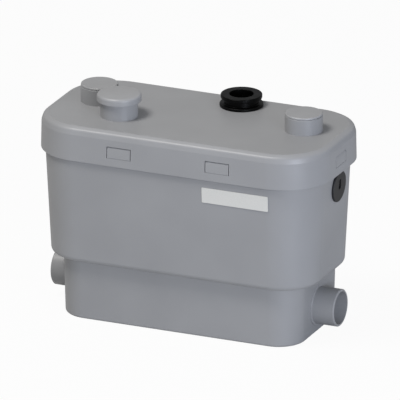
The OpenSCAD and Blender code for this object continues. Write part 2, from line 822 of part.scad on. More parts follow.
module deck_seal() {
    ring_r = inner_r(deck_z) - fit_gap;
    ring_h = 2 * deck_seal_h + deck_t;
    color(rubber_black) translate([0, tank_shift_y, ledge_z]) difference() {
        linear_extrude(ring_h) rounded_rect(tank_half_x, tank_half_y, ring_r);
        translate([0, 0, -overrun]) linear_extrude(ring_h + 2 * overrun)
            rounded_rect(tank_half_x, tank_half_y, ring_r - deck_seal_w);
        translate([0, 0, deck_seal_h - running_gap]) linear_extrude(deck_t + 2 * running_gap)
            rounded_rect(tank_half_x, tank_half_y, deck_r + running_gap);
    }
}

module deck_screws() {
    color(zinc) at_deck_screws() pan_screw(deck_t + deck_seal_h + tank_wall / 2);
}

module drop_tube() {
    color(pipe_white) translate([0, top_spigot_y, drop_low_z])
        tube(drop_r, drop_r - drop_wall, drop_top_z - drop_low_z);
}

module left_drop_tube() {
    translate([-top_spigot_x, 0, 0]) drop_tube();
}

module right_drop_tube() {
    translate([top_spigot_x, 0, 0]) drop_tube();
}

// Rod along Y, centred on y = 0
module cross_rod(r, length) {
    translate([0, length / 2, 0]) rotate([quarter, 0, 0]) cylinder(r = r, h = length);
}

// Side inlet parts are drawn for the right-hand end and mirrored for the left
module inlet_seat() {
    color(pump_black) difference() {
        union() {
            translate([seat_face_x - seat_t, 0, inlet_z]) rotate([0, quarter, 0])
                cylinder(r = seat_r, h = seat_t);
            translate([seat_face_x - seat_t, 0, inlet_z]) rotate([0, quarter, 0])
                cylinder(r = drop_r, h = seat_sleeve);
            for (side = [0, 1]) mirror([0, side, 0])
                translate([hinge_x - knuckle_r, knuckle_w / 2 + ear_gap, hinge_z - 2 * knuckle_r])
                cube([seat_face_x - hinge_x + knuckle_r, ear_w, 3 * knuckle_r]);
        }
        translate([hinge_x, 0, inlet_z]) rotate([0, quarter, 0])
            cylinder(r = drop_r - drop_wall, h = inlet_reach);
        translate([hinge_x, 0, hinge_z]) cross_rod(pin_r + running_gap, knuckle_w + 4 * ear_w);
    }
}

module inlet_flap() {
    color(rubber_black) difference() {
        union() {
            translate([flap_face_x - flap_t, 0, inlet_z]) rotate([0, quarter, 0])
                cylinder(r = flap_r, h = flap_t);
            translate([flap_face_x - flap_t, -knuckle_w / 2 + ear_gap, inlet_z])
                cube([flap_t, knuckle_w - 2 * ear_gap, hinge_z - inlet_z]);
            translate([hinge_x, 0, hinge_z]) cross_rod(knuckle_r, knuckle_w);
        }
        translate([hinge_x, 0, hinge_z]) cross_rod(pin_r + running_gap, knuckle_w + 2 * ear_w);
    }
}

module flap_pin() {
    color(steel) translate([hinge_x, 0, hinge_z]) cross_rod(pin_r, knuckle_w + 2 * (ear_w + ear_gap));
}

module left_inlet_seat() {
    mirror([1, 0, 0]) inlet_seat();
}

module left_inlet_flap() {
    mirror([1, 0, 0]) inlet_flap();
}

module left_flap_pin() {
    mirror([1, 0, 0]) flap_pin();
}

module right_inlet_seat() {
    inlet_seat();
}

module right_inlet_flap() {
    inlet_flap();
}

module right_flap_pin() {
    flap_pin();
}

// Pipe from the volute's outlet, round a bend, up to the check valve
module elbow_solid(r, past) {
    translate([outlet_x, elbow_y, outlet_z]) rotate([quarter, 0, 0])
        cylinder(r = r, h = elbow_y - volute_outlet_y + past);
    translate([outlet_x, elbow_y, outlet_z + bend_r]) rotate([quarter, 0, quarter]) rotate(-quarter)
        rotate_extrude(angle = quarter) translate([bend_r, 0]) circle(r);
    translate([outlet_x, outlet_y, outlet_z + bend_r])
        cylinder(r = r, h = elbow_top_z + past - outlet_z - bend_r);
}

module discharge_elbow() {
    color(pipe_white) difference() {
        elbow_solid(riser_r, 0);
        elbow_solid(riser_bore_r, overrun);
    }
}

module check_valve_body() {
    color(pump_black) translate([outlet_x, outlet_y, 0]) {
        difference() {
            translate([0, 0, valve_z]) cylinder(r = valve_r, h = valve_top_z - valve_z);
            translate([0, 0, valve_z - overrun])
                cylinder(r = riser_r + seat_gap, h = socket_depth - seat_plate_t + overrun);
            translate([0, 0, valve_z]) cylinder(r = ball_seat_r, h = socket_depth + overrun);
            translate([0, 0, valve_z + socket_depth])
                cylinder(r = valve_bore_r, h = stop_z + overrun - valve_z - socket_depth);
            translate([0, 0, stop_z]) cylinder(r = riser_r + seat_gap, h = valve_top_z + overrun - stop_z);
        }
        for (a = [0, quarter]) rotate(a) translate([-valve_r + valve_wall / 2, -stop_w / 2, stop_z])
            cube([2 * valve_r - valve_wall, stop_w, stop_t]);
    }
}

module check_ball() {
    color(rubber_black) translate([outlet_x, outlet_y, ball_z]) sphere(ball_r);
}

module discharge_riser() {
    color(pipe_white) translate([outlet_x, outlet_y, stop_z + stop_t + fit_gap])
        tube(riser_r, riser_bore_r, riser_top_z - stop_z - stop_t - fit_gap);
}

// Volute: four quarter discs, each larger and tangent to the one before, about the corners of a
// small square
module volute_outline(extra) {
    square(volute_step, center = true);
    for (k = [0:3]) translate(volute_corners[k]) rotate(quarter * k) intersection() {
        circle(volute_r + k * volute_step + extra);
        square(volute_r + k * volute_step + extra);
    }
}

module at_volute_ears() {
    for (k = [0:3]) translate(volute_corners[k]) rotate(quarter * k + ear_angle)
        translate([volute_r + k * volute_step + casing_wall + overrun, 0]) children();
}

// Flat plate of the volute's outside, with its screw ears
module volute_plate(h) {
    linear_extrude(h) {
        volute_outline(casing_wall);
        at_volute_ears() circle(screw_ear_r);
    }
}

module volute_casing() {
    casing_h = casing_top_z - casing_floor_z;
    color(pump_black) translate([pump_x, pump_y, casing_floor_z]) difference() {
        union() {
            volute_plate(casing_h);
            translate([outlet_off_x, volute_outlet_y - pump_y, outlet_z - casing_floor_z])
                rotate([quarter, 0, 0])
                cylinder(r = riser_r, h = volute_outlet_y - pump_y);
        }
        translate([0, 0, casing_wall]) linear_extrude(casing_h) volute_outline(0);
        translate([outlet_off_x, volute_outlet_y - pump_y + overrun, outlet_z - casing_floor_z])
            rotate([quarter, 0, 0])
            cylinder(r = riser_bore_r - seat_gap, h = volute_outlet_y - pump_y + overrun);
        translate([0, 0, -overrun]) cylinder(r = eye_r, h = casing_h);
        at_volute_ears() translate([0, 0, casing_h - casing_screw_l])
            cylinder(r = screw_r + running_gap, h = casing_h);
    }
}

module volute_screws() {
    color(zinc) translate([pump_x, pump_y, casing_top_z + flange_t]) at_volute_ears()
        pan_screw(casing_screw_l);
}

// Oil-tight column between the pump casing and the motor
module pump_column() {
    color(pump_black) translate([pump_x, pump_y, casing_top_z]) difference() {
        union() {
            volute_plate(flange_t);
            cylinder(r = column_r, h = motor_z - casing_top_z);
            translate([0, 0, motor_z - casing_top_z - flange_t])
                cylinder(r = column_flange_r, h = flange_t);
        }
        translate([0, 0, -overrun]) cylinder(r = shaft_nose_r + fit_gap, h = motor_h);
        translate([0, 0, flange_t]) cylinder(r = column_bore_r, h = motor_h);
        at_volute_ears() translate([0, 0, -overrun])
            cylinder(r = screw_r + running_gap, h = flange_t + 2 * overrun);
    }
}

module column_bush() {
    color(rubber_black) translate([pump_x, pump_y, deck_z - deck_seal_h]) difference() {
        union() {
            cylinder(r = column_r + 2 * bush_t, h = deck_seal_h);
            cylinder(r = column_r + bush_t - seat_gap, h = deck_seal_h + deck_t);
        }
        translate([0, 0, -overrun]) cylinder(r = column_r + seat_gap, h = deck_t * 3);
    }
}

// Ring of bars that carries the pump on the sump's floor and keeps coarse dirt out
module suction_strainer() {
    color(pump_black) translate([pump_x, pump_y, tank_wall]) {
        for (k = [0:strainer_bars - 1]) rotate(full_turn * k / strainer_bars)
            translate([strainer_r - strainer_bar_t, -strainer_bar_t / 2, 0])
                cube([strainer_bar_t, strainer_bar_t, suction_gap - seat_gap]);
        tube(strainer_r + strainer_bar_t / 2, strainer_r - strainer_bar_t * 1.5, strainer_ring_h);
        translate([0, 0, suction_gap - strainer_ring_h])
            tube(strainer_r + strainer_bar_t / 2, eye_r, strainer_ring_h - seat_gap);
    }
}

module impeller() {
    color(brass) translate([pump_x, pump_y, 0]) difference() {
        union() {
            translate([0, 0, vane_top_z]) cylinder(r = impeller_r, h = hub_plate_t);
            translate([0, 0, vane_low_z + screw_head_h])
                cylinder(r = hub_r, h = vane_top_z + hub_plate_t - vane_low_z - screw_head_h);
            for (k = [0:vane_count - 1]) rotate(full_turn * k / vane_count)
                translate([0, -vane_bend_r, vane_low_z])
                rotate(vane_start_angle) rotate_extrude(angle = vane_sweep)
                    translate([vane_bend_r - vane_t / 2, 0])
                    square([vane_t, vane_h + hub_plate_t / 2]);
        }
        translate([0, 0, vane_low_z - overrun]) cylinder(r = shaft_nose_r + running_gap, h = lid_h);
    }
}

module impeller_screw() {
    color(steel) translate([pump_x, pump_y, vane_low_z]) {
        cylinder(r = hub_r - overrun, h = screw_head_h - seat_gap);
        cylinder(r = shaft_nose_r / 2, h = 3 * screw_head_h);
    }
}

module shaft_seal() {
    color(seal_ceramic) translate([pump_x, pump_y, seal_z])
        tube(column_bore_r - seat_gap, shaft_nose_r + seat_gap, seal_h);
}

module motor_shaft() {
    color(steel) translate([pump_x, pump_y, 0]) difference() {
        union() {
            translate([0, 0, vane_low_z + screw_head_h])
                cylinder(r = shaft_nose_r, h = lower_bearing_z - vane_low_z - screw_head_h);
            translate([0, 0, seal_z + seal_h + overrun])
                cylinder(r = shaft_r, h = upper_bearing_z + bearing_h - seal_z - seal_h - overrun);
            translate([0, 0, lower_bearing_z + bearing_h + overrun])
                cylinder(r = shaft_body_r, h = upper_bearing_z - lower_bearing_z - bearing_h - 2 * overrun);
        }
        translate([0, 0, vane_low_z])
            cylinder(r = shaft_nose_r / 2 + running_gap, h = 3 * screw_head_h + overrun);
    }
}

module ball_bearing() {
    color(steel) difference() {
        tube(bearing_r, shaft_r + running_gap, bearing_h);
        for (z = [-overrun, bearing_h - overrun]) translate([0, 0, z]) difference() {
            cylinder(r = bearing_r - bearing_ring_t, h = 2 * overrun);
            cylinder(r = shaft_r + bearing_ring_t, h = 2 * overrun);
        }
    }
}

module lower_bearing() {
    translate([pump_x, pump_y, lower_bearing_z]) ball_bearing();
}

module upper_bearing() {
    translate([pump_x, pump_y, upper_bearing_z]) ball_bearing();
}

module rotor_core() {
    color(lamination) translate([pump_x, pump_y, core_z - end_ring_h]) difference() {
        union() {
            cylinder(r = rotor_r * end_ring_share, h = core_h + 2 * end_ring_h);
            translate([0, 0, end_ring_h]) cylinder(r = rotor_r, h = core_h);
        }
        translate([0, 0, -overrun]) cylinder(r = shaft_body_r + running_gap, h = 2 * core_h);
    }
}

module at_slots() {
    for (k = [0:slot_count - 1]) rotate(full_turn * k / slot_count) children();
}

module stator_core() {
    color(lamination) translate([pump_x, pump_y, core_z]) difference() {
        tube(stator_r, stator_bore_r, core_h);
        at_slots() translate([stator_bore_r + slot_lip, -slot_w / 2, -overrun])
            cube([slot_depth, slot_w, core_h + 2 * overrun]);
    }
}

module stator_windings() {
    turn_r = stator_bore_r + slot_lip + fit_gap;
    turn_w = slot_depth - 2 * fit_gap;
    color(copper) translate([pump_x, pump_y, core_z]) {
        at_slots() translate([turn_r, -slot_w / 2 + fit_gap, -overrun])
            cube([turn_w, slot_w - 2 * fit_gap, core_h + 2 * overrun]);
        for (end = [0, 1]) translate([0, 0, end * core_h]) mirror([0, 0, 1 - end])
            translate([0, 0, fit_gap])
            rotate_extrude() translate([turn_r, 0]) {
                square([turn_w, end_turn_h - turn_w / 2]);
                translate([turn_w / 2, end_turn_h - turn_w / 2]) circle(turn_w / 2);
            }
    }
}

module at_motor_ears() {
    for (q = [0:3]) translate([pump_x, pump_y, 0]) rotate(flange_turn + quarter * q)
        translate([flange_pcr, 0, 0]) children();
}

module at_cap_ears() {
    for (q = [0:3]) translate([pump_x, pump_y, 0]) rotate(flange_turn + bevel_angle + quarter * q)
        translate([motor_r + screw_r, 0, 0]) children();
}

module motor_housing() {
    color(aluminium) difference() {
        union() {
            translate([pump_x, pump_y, motor_z]) {
                cylinder(r = motor_r, h = motor_h);
                for (k = [0:fin_count - 1]) rotate(full_turn * k / fin_count)
                    translate([motor_r - housing_wall / 2, -fin_t / 2, fin_margin])
                        cube([fin_reach + housing_wall / 2, fin_t, motor_h - 2 * fin_margin]);
            }
            for (q = [0:3]) translate([pump_x, pump_y, motor_z]) rotate(flange_turn + quarter * q)
                translate([0, -flange_ear_r, 0]) cube([flange_pcr, 2 * flange_ear_r, motor_flange_t]);
            at_motor_ears() translate([0, 0, motor_z]) cylinder(r = flange_ear_r, h = motor_flange_t);
            at_cap_ears() translate([0, 0, motor_top_z - cap_ear_h])
                cylinder(r = screw_ear_r, h = cap_ear_h);
        }
        translate([pump_x, pump_y, motor_z]) {
            translate([0, 0, -overrun]) cylinder(r = shaft_body_r, h = motor_h);
            translate([0, 0, motor_flange_t]) cylinder(r = bearing_r + running_gap, h = motor_h);
            translate([0, 0, motor_flange_t])
                tube(motor_r - housing_wall, bearing_r + bearing_seat_wall, motor_h);
            translate([0, 0, motor_flange_t + bearing_h]) cylinder(r = motor_r - housing_wall, h = motor_h);
        }
        at_motor_ears() translate([0, 0, motor_z - overrun])
            cylinder(r = screw_r + running_gap, h = motor_flange_t + 2 * overrun);
        at_cap_ears() translate([0, 0, motor_top_z - cap_screw_l + end_cap_h / 2])
            cylinder(r = screw_r + running_gap, h = motor_h);
    }
}

module motor_end_cap() {
    color(aluminium) difference() {
        union() {
            translate([pump_x, pump_y, motor_top_z]) {
                cylinder(r = motor_r, h = end_cap_h / 2);
                translate([0, 0, end_cap_h / 2])
                    cylinder(r1 = motor_r - housing_wall, r2 = motor_r - end_cap_h, h = end_cap_h / 2);
            }
            translate([pump_x, pump_y, upper_bearing_z]) {
                cylinder(r = bearing_r + bearing_seat_wall, h = end_cap_h);
                tube(motor_r - housing_wall - seat_gap, motor_r - 2 * housing_wall, end_cap_h / 2);
            }
            at_cap_ears() translate([0, 0, motor_top_z]) cylinder(r = screw_ear_r, h = end_cap_h / 2);
        }
        translate([pump_x, pump_y, upper_bearing_z - overrun])
            cylinder(r = bearing_r + running_gap, h = bearing_h + overrun);
        at_cap_ears() translate([0, 0, motor_top_z - overrun])
            cylinder(r = screw_r + running_gap, h = end_cap_h);
    }
}

module motor_buffers() {
    color(rubber_black) at_motor_ears() translate([0, 0, deck_top_z])
        tube(buffer_r, screw_r + running_gap, buffer_h);
}

module motor_screws() {
    color(zinc) at_motor_ears() translate([0, 0, motor_z + motor_flange_t])
        pan_screw(motor_flange_t + buffer_h + deck_t);
}

module end_cap_screws() {
    color(zinc) at_cap_ears() translate([0, 0, motor_top_z + end_cap_h / 2])
        pan_screw(cap_screw_l - overrun);
}

module capacitor() {
    can_r = capacitor_d / 2;
    color(pipe_white) translate([capacitor_x, capacitor_y, deck_top_z]) {
        chamfered_rod(can_r, capacitor_h, edge_chamfer);
        for (side = [-1, 1])
            translate([side * terminal_l - terminal_w / 2, -terminal_l / 2, capacitor_h - overrun])
            cube([terminal_w, terminal_l, terminal_l + overrun]);
    }
}

module capacitor_clip() {
    clip_r = capacitor_d / 2 + clip_band_t;
    color(zinc) translate([capacitor_x, capacitor_y, deck_top_z]) difference() {
        union() {
            cylinder(r = clip_r, h = clip_band_h);
            translate([-clip_foot_w / 2, -clip_r - clip_foot_w / 2, 0])
                cube([clip_foot_w, clip_foot_w + clip_band_t, clip_band_t]);
        }
        translate([0, 0, -overrun]) cylinder(r = capacitor_d / 2 + seat_gap, h = clip_band_h + 2 * overrun);
    }
}

module pressure_bell() {
    color(pipe_white) translate([switch_x, switch_y, 0]) difference() {
        union() {
            translate([0, 0, bell_low_z]) cylinder(r = bell_r, h = diaphragm_z - bell_low_z);
            translate([0, 0, deck_top_z]) cylinder(r = switch_flange_r, h = switch_flange_t);
        }
        translate([0, 0, bell_low_z - overrun]) cylinder(r = bell_r - bell_wall, h = lid_h * 2);
    }
}

module switch_diaphragm() {
    color(rubber_black) translate([switch_x, switch_y, diaphragm_z])
        cylinder(r = switch_flange_r, h = diaphragm_t);
}

module switch_cover() {
    color(pump_black) translate([switch_x, switch_y, cover_z]) difference() {
        union() {
            chamfered_rod(switch_r, cover_h, 2 * edge_chamfer);
            for (side = [-1, 1]) translate([side * post_x, 0, 0])
                cylinder(r = post_r, h = cover_h + post_h - seat_gap);
        }
        translate([0, 0, -overrun]) cylinder(r = switch_r - cover_wall, h = cover_h + overrun - cover_wall);
        cylinder(r = plunger_r + running_gap, h = cover_h + overrun);
    }
}

module switch_plunger() {
    color(pipe_white) translate([switch_x, switch_y, cover_z + fit_gap]) {
        cylinder(r = plunger_plate_r, h = plunger_plate_t);
        cylinder(r = plunger_r, h = plunger_top_z - cover_z - fit_gap);
    }
}

module microswitch() {
    color(pump_black) translate([switch_x, switch_y, micro_z]) difference() {
        union() {
            translate([-micro_l / 2, -micro_w / 2, 0]) cube([micro_l, micro_w, micro_h]);
            for (k = [-1:1])
                translate([k * terminal_l - terminal_w / 2, -terminal_l / 2, micro_h - overrun])
                cube([terminal_w, terminal_l, terminal_l + overrun]);
        }
        translate([0, 0, -overrun]) cylinder(r = plunger_r + fit_gap, h = micro_hole_depth + overrun);
    }
}

module terminal_box() {
    color(pump_black) translate([box_x, box_y, deck_top_z]) difference() {
        translate([-box_l / 2, -box_w / 2, 0]) cube([box_l, box_w, box_h]);
        translate([-box_l / 2 + box_wall, -box_w / 2 + box_wall, box_wall])
            cube([box_l - 2 * box_wall, box_w - 2 * box_wall, box_h]);
        translate([0, box_w / 2 + overrun, box_h / 2]) rotate([quarter, 0, 0])
            cylinder(r = cable_d / 2, h = 2 * box_wall);
    }
}

module terminal_block() {
    pitch = block_l / pole_count;
    color(block_cream) translate([box_x, box_y, deck_top_z + box_wall]) difference() {
        translate([-block_l / 2, -block_w / 2, 0]) cube([block_l, block_w, block_h]);
        for (k = [0:pole_count - 1]) translate([-block_l / 2 + pitch * (k + 0.5), 0, block_h / 2]) {
            for (side = [-1, 1]) translate([0, side * block_w / 4, 0]) cylinder(r = pole_r, h = block_h);
            rotate([quarter, 0, 0]) translate([0, 0, -block_w])
                cylinder(r = pole_r - fit_gap, h = 2 * block_w);
        }
    }
}

module terminal_box_cover() {
    lip_l = box_l - 2 * box_wall - 2 * fit_gap;
    lip_w = box_w - 2 * box_wall - 2 * fit_gap;
    color(pump_black) translate([box_x, box_y, deck_top_z + box_h]) {
        translate([-box_l / 2, -box_w / 2, 0]) cube([box_l, box_w, box_wall]);
        difference() {
            translate([-lip_l / 2, -lip_w / 2, -cover_lip]) cube([lip_l, lip_w, cover_lip + overrun]);
            translate([-lip_l / 2 + box_wall, -lip_w / 2 + box_wall, -cover_lip - overrun])
                cube([lip_l - 2 * box_wall, lip_w - 2 * box_wall, cover_lip + overrun]);
        }
    }
}

tank();
lid();
lid_seal();
left_blanking_cap();
right_blanking_cap();
vent_cap();
vent_filter();
vent_tube();
discharge_collar();
label_plate();
cable_grommet();
grommet_nut();
deck_plate();
deck_seal();
deck_screws();
left_drop_tube();
right_drop_tube();
left_inlet_seat();
left_inlet_flap();
left_flap_pin();
right_inlet_seat();
right_inlet_flap();
right_flap_pin();
discharge_elbow();
check_valve_body();
check_ball();
discharge_riser();
pump_column();
column_bush();
volute_casing();
volute_screws();
suction_strainer();
impeller();
impeller_screw();
shaft_seal();
motor_shaft();
lower_bearing();
upper_bearing();
rotor_core();
stator_core();
stator_windings();
motor_housing();
motor_end_cap();
motor_buffers();
motor_screws();
end_cap_screws();
capacitor();
capacitor_clip();
pressure_bell();
switch_diaphragm();
switch_cover();
switch_plunger();
microswitch();
terminal_box();
terminal_block();
terminal_box_cover();
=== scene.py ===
import bmesh
import bpy
import json
from math import cos, pi, radians, sin, tan
from mathutils import Matrix, Vector


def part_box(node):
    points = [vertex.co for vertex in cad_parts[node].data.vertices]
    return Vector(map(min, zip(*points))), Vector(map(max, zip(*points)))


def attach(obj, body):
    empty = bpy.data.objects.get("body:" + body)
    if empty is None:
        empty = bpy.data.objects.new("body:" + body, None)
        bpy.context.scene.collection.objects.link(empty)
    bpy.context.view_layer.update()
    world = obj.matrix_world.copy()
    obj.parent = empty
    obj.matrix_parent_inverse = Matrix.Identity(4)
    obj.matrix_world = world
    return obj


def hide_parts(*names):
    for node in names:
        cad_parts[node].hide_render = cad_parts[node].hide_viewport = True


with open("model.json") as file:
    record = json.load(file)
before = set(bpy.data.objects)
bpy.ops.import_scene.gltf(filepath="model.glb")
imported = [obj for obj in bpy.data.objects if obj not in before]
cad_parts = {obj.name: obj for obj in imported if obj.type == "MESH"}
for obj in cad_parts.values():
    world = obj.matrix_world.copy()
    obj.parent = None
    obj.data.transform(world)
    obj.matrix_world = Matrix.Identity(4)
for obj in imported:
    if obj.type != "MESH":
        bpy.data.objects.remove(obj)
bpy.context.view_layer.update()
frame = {"nodes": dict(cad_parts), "record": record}

# Boxed waste water pump. Lengths in this file are millimetres until meshPiece turns them to metres.
scene = bpy.context.scene
mm = 0.001
overrun = 1        # how far a cut or a join runs on past the face that it meets
bodyOf = {node: body for body, nodes in frame["record"]["behaviour"]["bodies"].items() for node in nodes}
slotOf = {row["node"]: row["material_slot"] for row in frame["record"]["subparts"]}

# The camera. Turn and height are in degrees, and the view is the photograph's width at the target
cameraSetup = {
    "target": (1.9, 0, 159.6),
    "turn": 23.4,
    "rise": 20.05,
    "distance": 18000,
    "viewWidth": 526,
    "sensor": 36,
}


def setUpCamera(setup):
    turn, rise = radians(setup["turn"]), radians(setup["rise"])
    back = Vector((sin(turn) * cos(rise), -cos(turn) * cos(rise), sin(rise)))
    data = bpy.data.cameras.new("camera")
    data.sensor_width = setup["sensor"]
    data.lens = setup["sensor"] * setup["distance"] / setup["viewWidth"]
    data.clip_start, data.clip_end = 1, 3 * setup["distance"] * mm
    camera = bpy.data.objects.new("camera", data)
    scene.collection.objects.link(camera)
    camera.location = (Vector(setup["target"]) + back * setup["distance"]) * mm
    camera.rotation_euler = back.to_track_quat("Z", "Y").to_euler()
    scene.camera = camera


setUpCamera(cameraSetup)


# Node trees
def hexColour(code):
    # sRGB hex to linear
    channels = [int(code[k:k + 2], 16) / 255 for k in (1, 3, 5)]
    return [c / 12.92 if c <= 0.04045 else ((c + 0.055) / 1.055) ** 2.4 for c in channels] + [1]


def addNode(tree, kind, settings=None, sockets=None):
    # a socket given another node's output is linked, and any other value is typed into it
    node = tree.nodes.new(kind)
    for name, value in (settings or {}).items():
        setattr(node, name, value)
    for socket, value in (sockets or {}).items():
        if isinstance(value, bpy.types.NodeSocket):
            tree.links.new(value, node.inputs[socket])
        else:
            node.inputs[socket].default_value = value
    return node


def newFinish(name, look, metallic=0, ior=1.5, coat=0):
    # a surface is the material, its tree, its shader and the place on the object
    finish = bpy.data.materials.new(name)
    finish.use_nodes = True
    tree = finish.node_tree
    tree.nodes.clear()
    shader = addNode(tree, "ShaderNodeBsdfPrincipled", None, {
        "Roughness": look["roughness"], "Metallic": metallic, "IOR": ior, "Coat Weight": coat})
    addNode(tree, "ShaderNodeOutputMaterial", None, {"Surface": shader.outputs["BSDF"]})
    return finish, tree, shader, addNode(tree, "ShaderNodeTexCoord").outputs["Object"]


def noiseOf(surface, size, detail=3, stretch=None):
    # noise whose lumps are about size millimetres across, drawn out along an axis by stretch
    finish, tree, shader, place = surface
    if stretch:
        place = addNode(tree, "ShaderNodeMapping", None, {"Vector": place, "Scale": stretch}).outputs[0]
    return addNode(tree, "ShaderNodeTexNoise", None, {
        "Vector": place, "Scale": 1 / (size * mm), "Detail": detail}).outputs["Fac"]


def cellsOf(surface, size, feature):
    finish, tree, shader, place = surface
    return addNode(tree, "ShaderNodeTexVoronoi", {"feature": feature}, {
        "Vector": place, "Scale": 1 / (size * mm)}).outputs["Distance"]


def openRange(tree, factor, low=0, high=1):
    # noise stays near its middle, which is opened here to run from low to high
    return addNode(tree, "ShaderNodeMapRange", None, {
        0: factor, 1: 0.3, 2: 0.7, 3: low, 4: high}).outputs[0]


def dress(surface, look, tones, bump, rough=None, strength=1):
    # two tones blend by one pattern, the roughness strays below and above its value by another, and
    # a third raises a bump, whose depth is in millimetres
    finish, tree, shader, place = surface
    if tones:
        blend = addNode(tree, "ShaderNodeMix", {"data_type": "RGBA"}, {
            0: openRange(tree, tones), 6: hexColour(look["low"]), 7: hexColour(look["high"])})
        tree.links.new(blend.outputs[2], shader.inputs["Base Color"])
    if rough:
        factor, below, above = rough
        spread = openRange(tree, factor, look["roughness"] - below, look["roughness"] + above)
        tree.links.new(spread, shader.inputs["Roughness"])
    raisedSkin = addNode(tree, "ShaderNodeBump", None, {
        "Height": bump, "Distance": look["depth"] * mm, "Strength": strength})
    tree.links.new(raisedSkin.outputs[0], shader.inputs["Normal"])
    return surface


def mouldedPlastic(name, look):
    # Injection moulding over a spark-eroded mould: an even satin face with a fine grain, and very
    # faint broad flow clouds. The real grain of 0.1 mm is drawn at look["grain"] so that it shows
    surface = newFinish(name, look, ior=look["ior"])
    clouds = noiseOf(surface, look["clouds"], detail=2)
    grain = noiseOf(surface, look["grain"], detail=4)
    return dress(surface, look, tones=clouds, bump=grain, rough=(grain, 0.04, 0.04))


def glassFilledPlastic(name, look):
    # Polypropylene with short glass fibres: dull black with pale flecks lying along the flow
    surface = finish, tree, shader, place = newFinish(name, look, ior=1.49)
    fibres = noiseOf(surface, look["fibre"], detail=5, stretch=(3, 3, 0.6))
    flecks = addNode(tree, "ShaderNodeValToRGB", None, {0: fibres})
    for stop, at, tone in zip(flecks.color_ramp.elements, look["fleckRange"], (look["low"], look["high"])):
        stop.position, stop.color = at, hexColour(tone)
    tree.links.new(flecks.outputs[0], shader.inputs["Base Color"])
    return dress(surface, look, tones=None, bump=fibres, rough=(fibres, 0.08, 0.05))


def mouldedRubber(name, look):
    # Peroxide-cured rubber from a polished mould: deep black, a soft sheen and a faint bloom in
    # patches. Carbon black soaks up part of the surface's mirror light
    surface = finish, tree, shader, place = newFinish(name, look, ior=1.52)
    bloom = noiseOf(surface, look["bloom"])
    shader.inputs["Specular IOR Level"].default_value = look["shine"]
    return dress(surface, look, tones=bloom, bump=noiseOf(surface, look["skin"]), rough=(bloom, 0.03, 0.08))


def extrudedPipe(name, look):
    # Extruded pipe: semi-gloss with fine draw lines along its length
    surface = newFinish(name, look, ior=1.53)
    lines = noiseOf(surface, look["line"], stretch=(1, 1, 0.02))
    return dress(surface, look, tones=lines, bump=lines, rough=(lines, 0.05, 0.07))


def turnedMetal(name, look):
    # Turned or ground on a lathe: bright, with rings round the axis that catch the light
    surface = newFinish(name, look, metallic=1)
    rings = noiseOf(surface, look["ring"], stretch=(0.04, 0.04, 1))
    return dress(surface, look, tones=rings, bump=rings, rough=(rings, 0.08, 0.1))


def castMetal(name, look):
    # Die or sand casting: a pebbled skin, darker in its hollows, dull with bright high spots
    surface = newFinish(name, look, metallic=1)
    stain = noiseOf(surface, look["stain"], detail=4)
    pebbles = cellsOf(surface, look["pebble"], "SMOOTH_F1")
    return dress(surface, look, tones=stain, bump=pebbles, rough=(stain, 0.08, 0.08), strength=0.6)


def platedSteel(name, look):
    # Bright zinc with a clear passivation: bluish steel with a straw-coloured cast in patches
    surface = newFinish(name, look, metallic=1)
    patches = noiseOf(surface, look["patch"], detail=2)
    grain = noiseOf(surface, look["grain"])
    return dress(surface, look, tones=patches, bump=grain, rough=(patches, 0.06, 0.1))


def stackedSheets(name, look):
    # Electrical sheet in a stack: dark blue-grey edges of 0.5 mm sheets, drawn at look["sheet"] to
    # show. At a scale of 1 a wave texture's band is 2 pi / 20 metres long
    surface = finish, tree, shader, place = newFinish(name, look, metallic=1)
    bands = addNode(tree, "ShaderNodeTexWave", {"bands_direction": "Z"}, {
        "Vector": place, "Scale": 2 * pi / (20 * look["sheet"] * mm), "Distortion": 0.4}).outputs["Fac"]
    return dress(surface, look, tones=bands, bump=bands)


def enamelledWire(name, look):
    # Copper wire under clear enamel and dipping varnish: warm brown with a wet coat
    surface = newFinish(name, look, metallic=1, coat=0.7)
    varnish = noiseOf(surface, look["varnish"])
    return dress(surface, look, tones=varnish, bump=varnish, rough=(varnish, 0.05, 0.1))


def needledFelt(name, look):
    # Activated carbon felt: matt, with short fibres in all directions
    surface = finish, tree, shader, place = newFinish(name, look, ior=1.45)
    fibres = noiseOf(surface, look["fibre"], detail=8)
    both = addNode(tree, "ShaderNodeMath", {"operation": "ADD"}, {
        0: fibres, 1: cellsOf(surface, look["tuft"], "F1")}).outputs[0]
    shader.inputs["Sheen Weight"].default_value = look["sheen"]
    return dress(surface, look, tones=fibres, bump=both)


def labelFilm(name, look):
    # Satin polyester film over white print: very even, with a slight orange peel from its adhesive
    surface = newFinish(name, look, ior=1.57, coat=0.2)
    peel = noiseOf(surface, look["peel"], detail=2)
    return dress(surface, look, tones=peel, bump=peel)


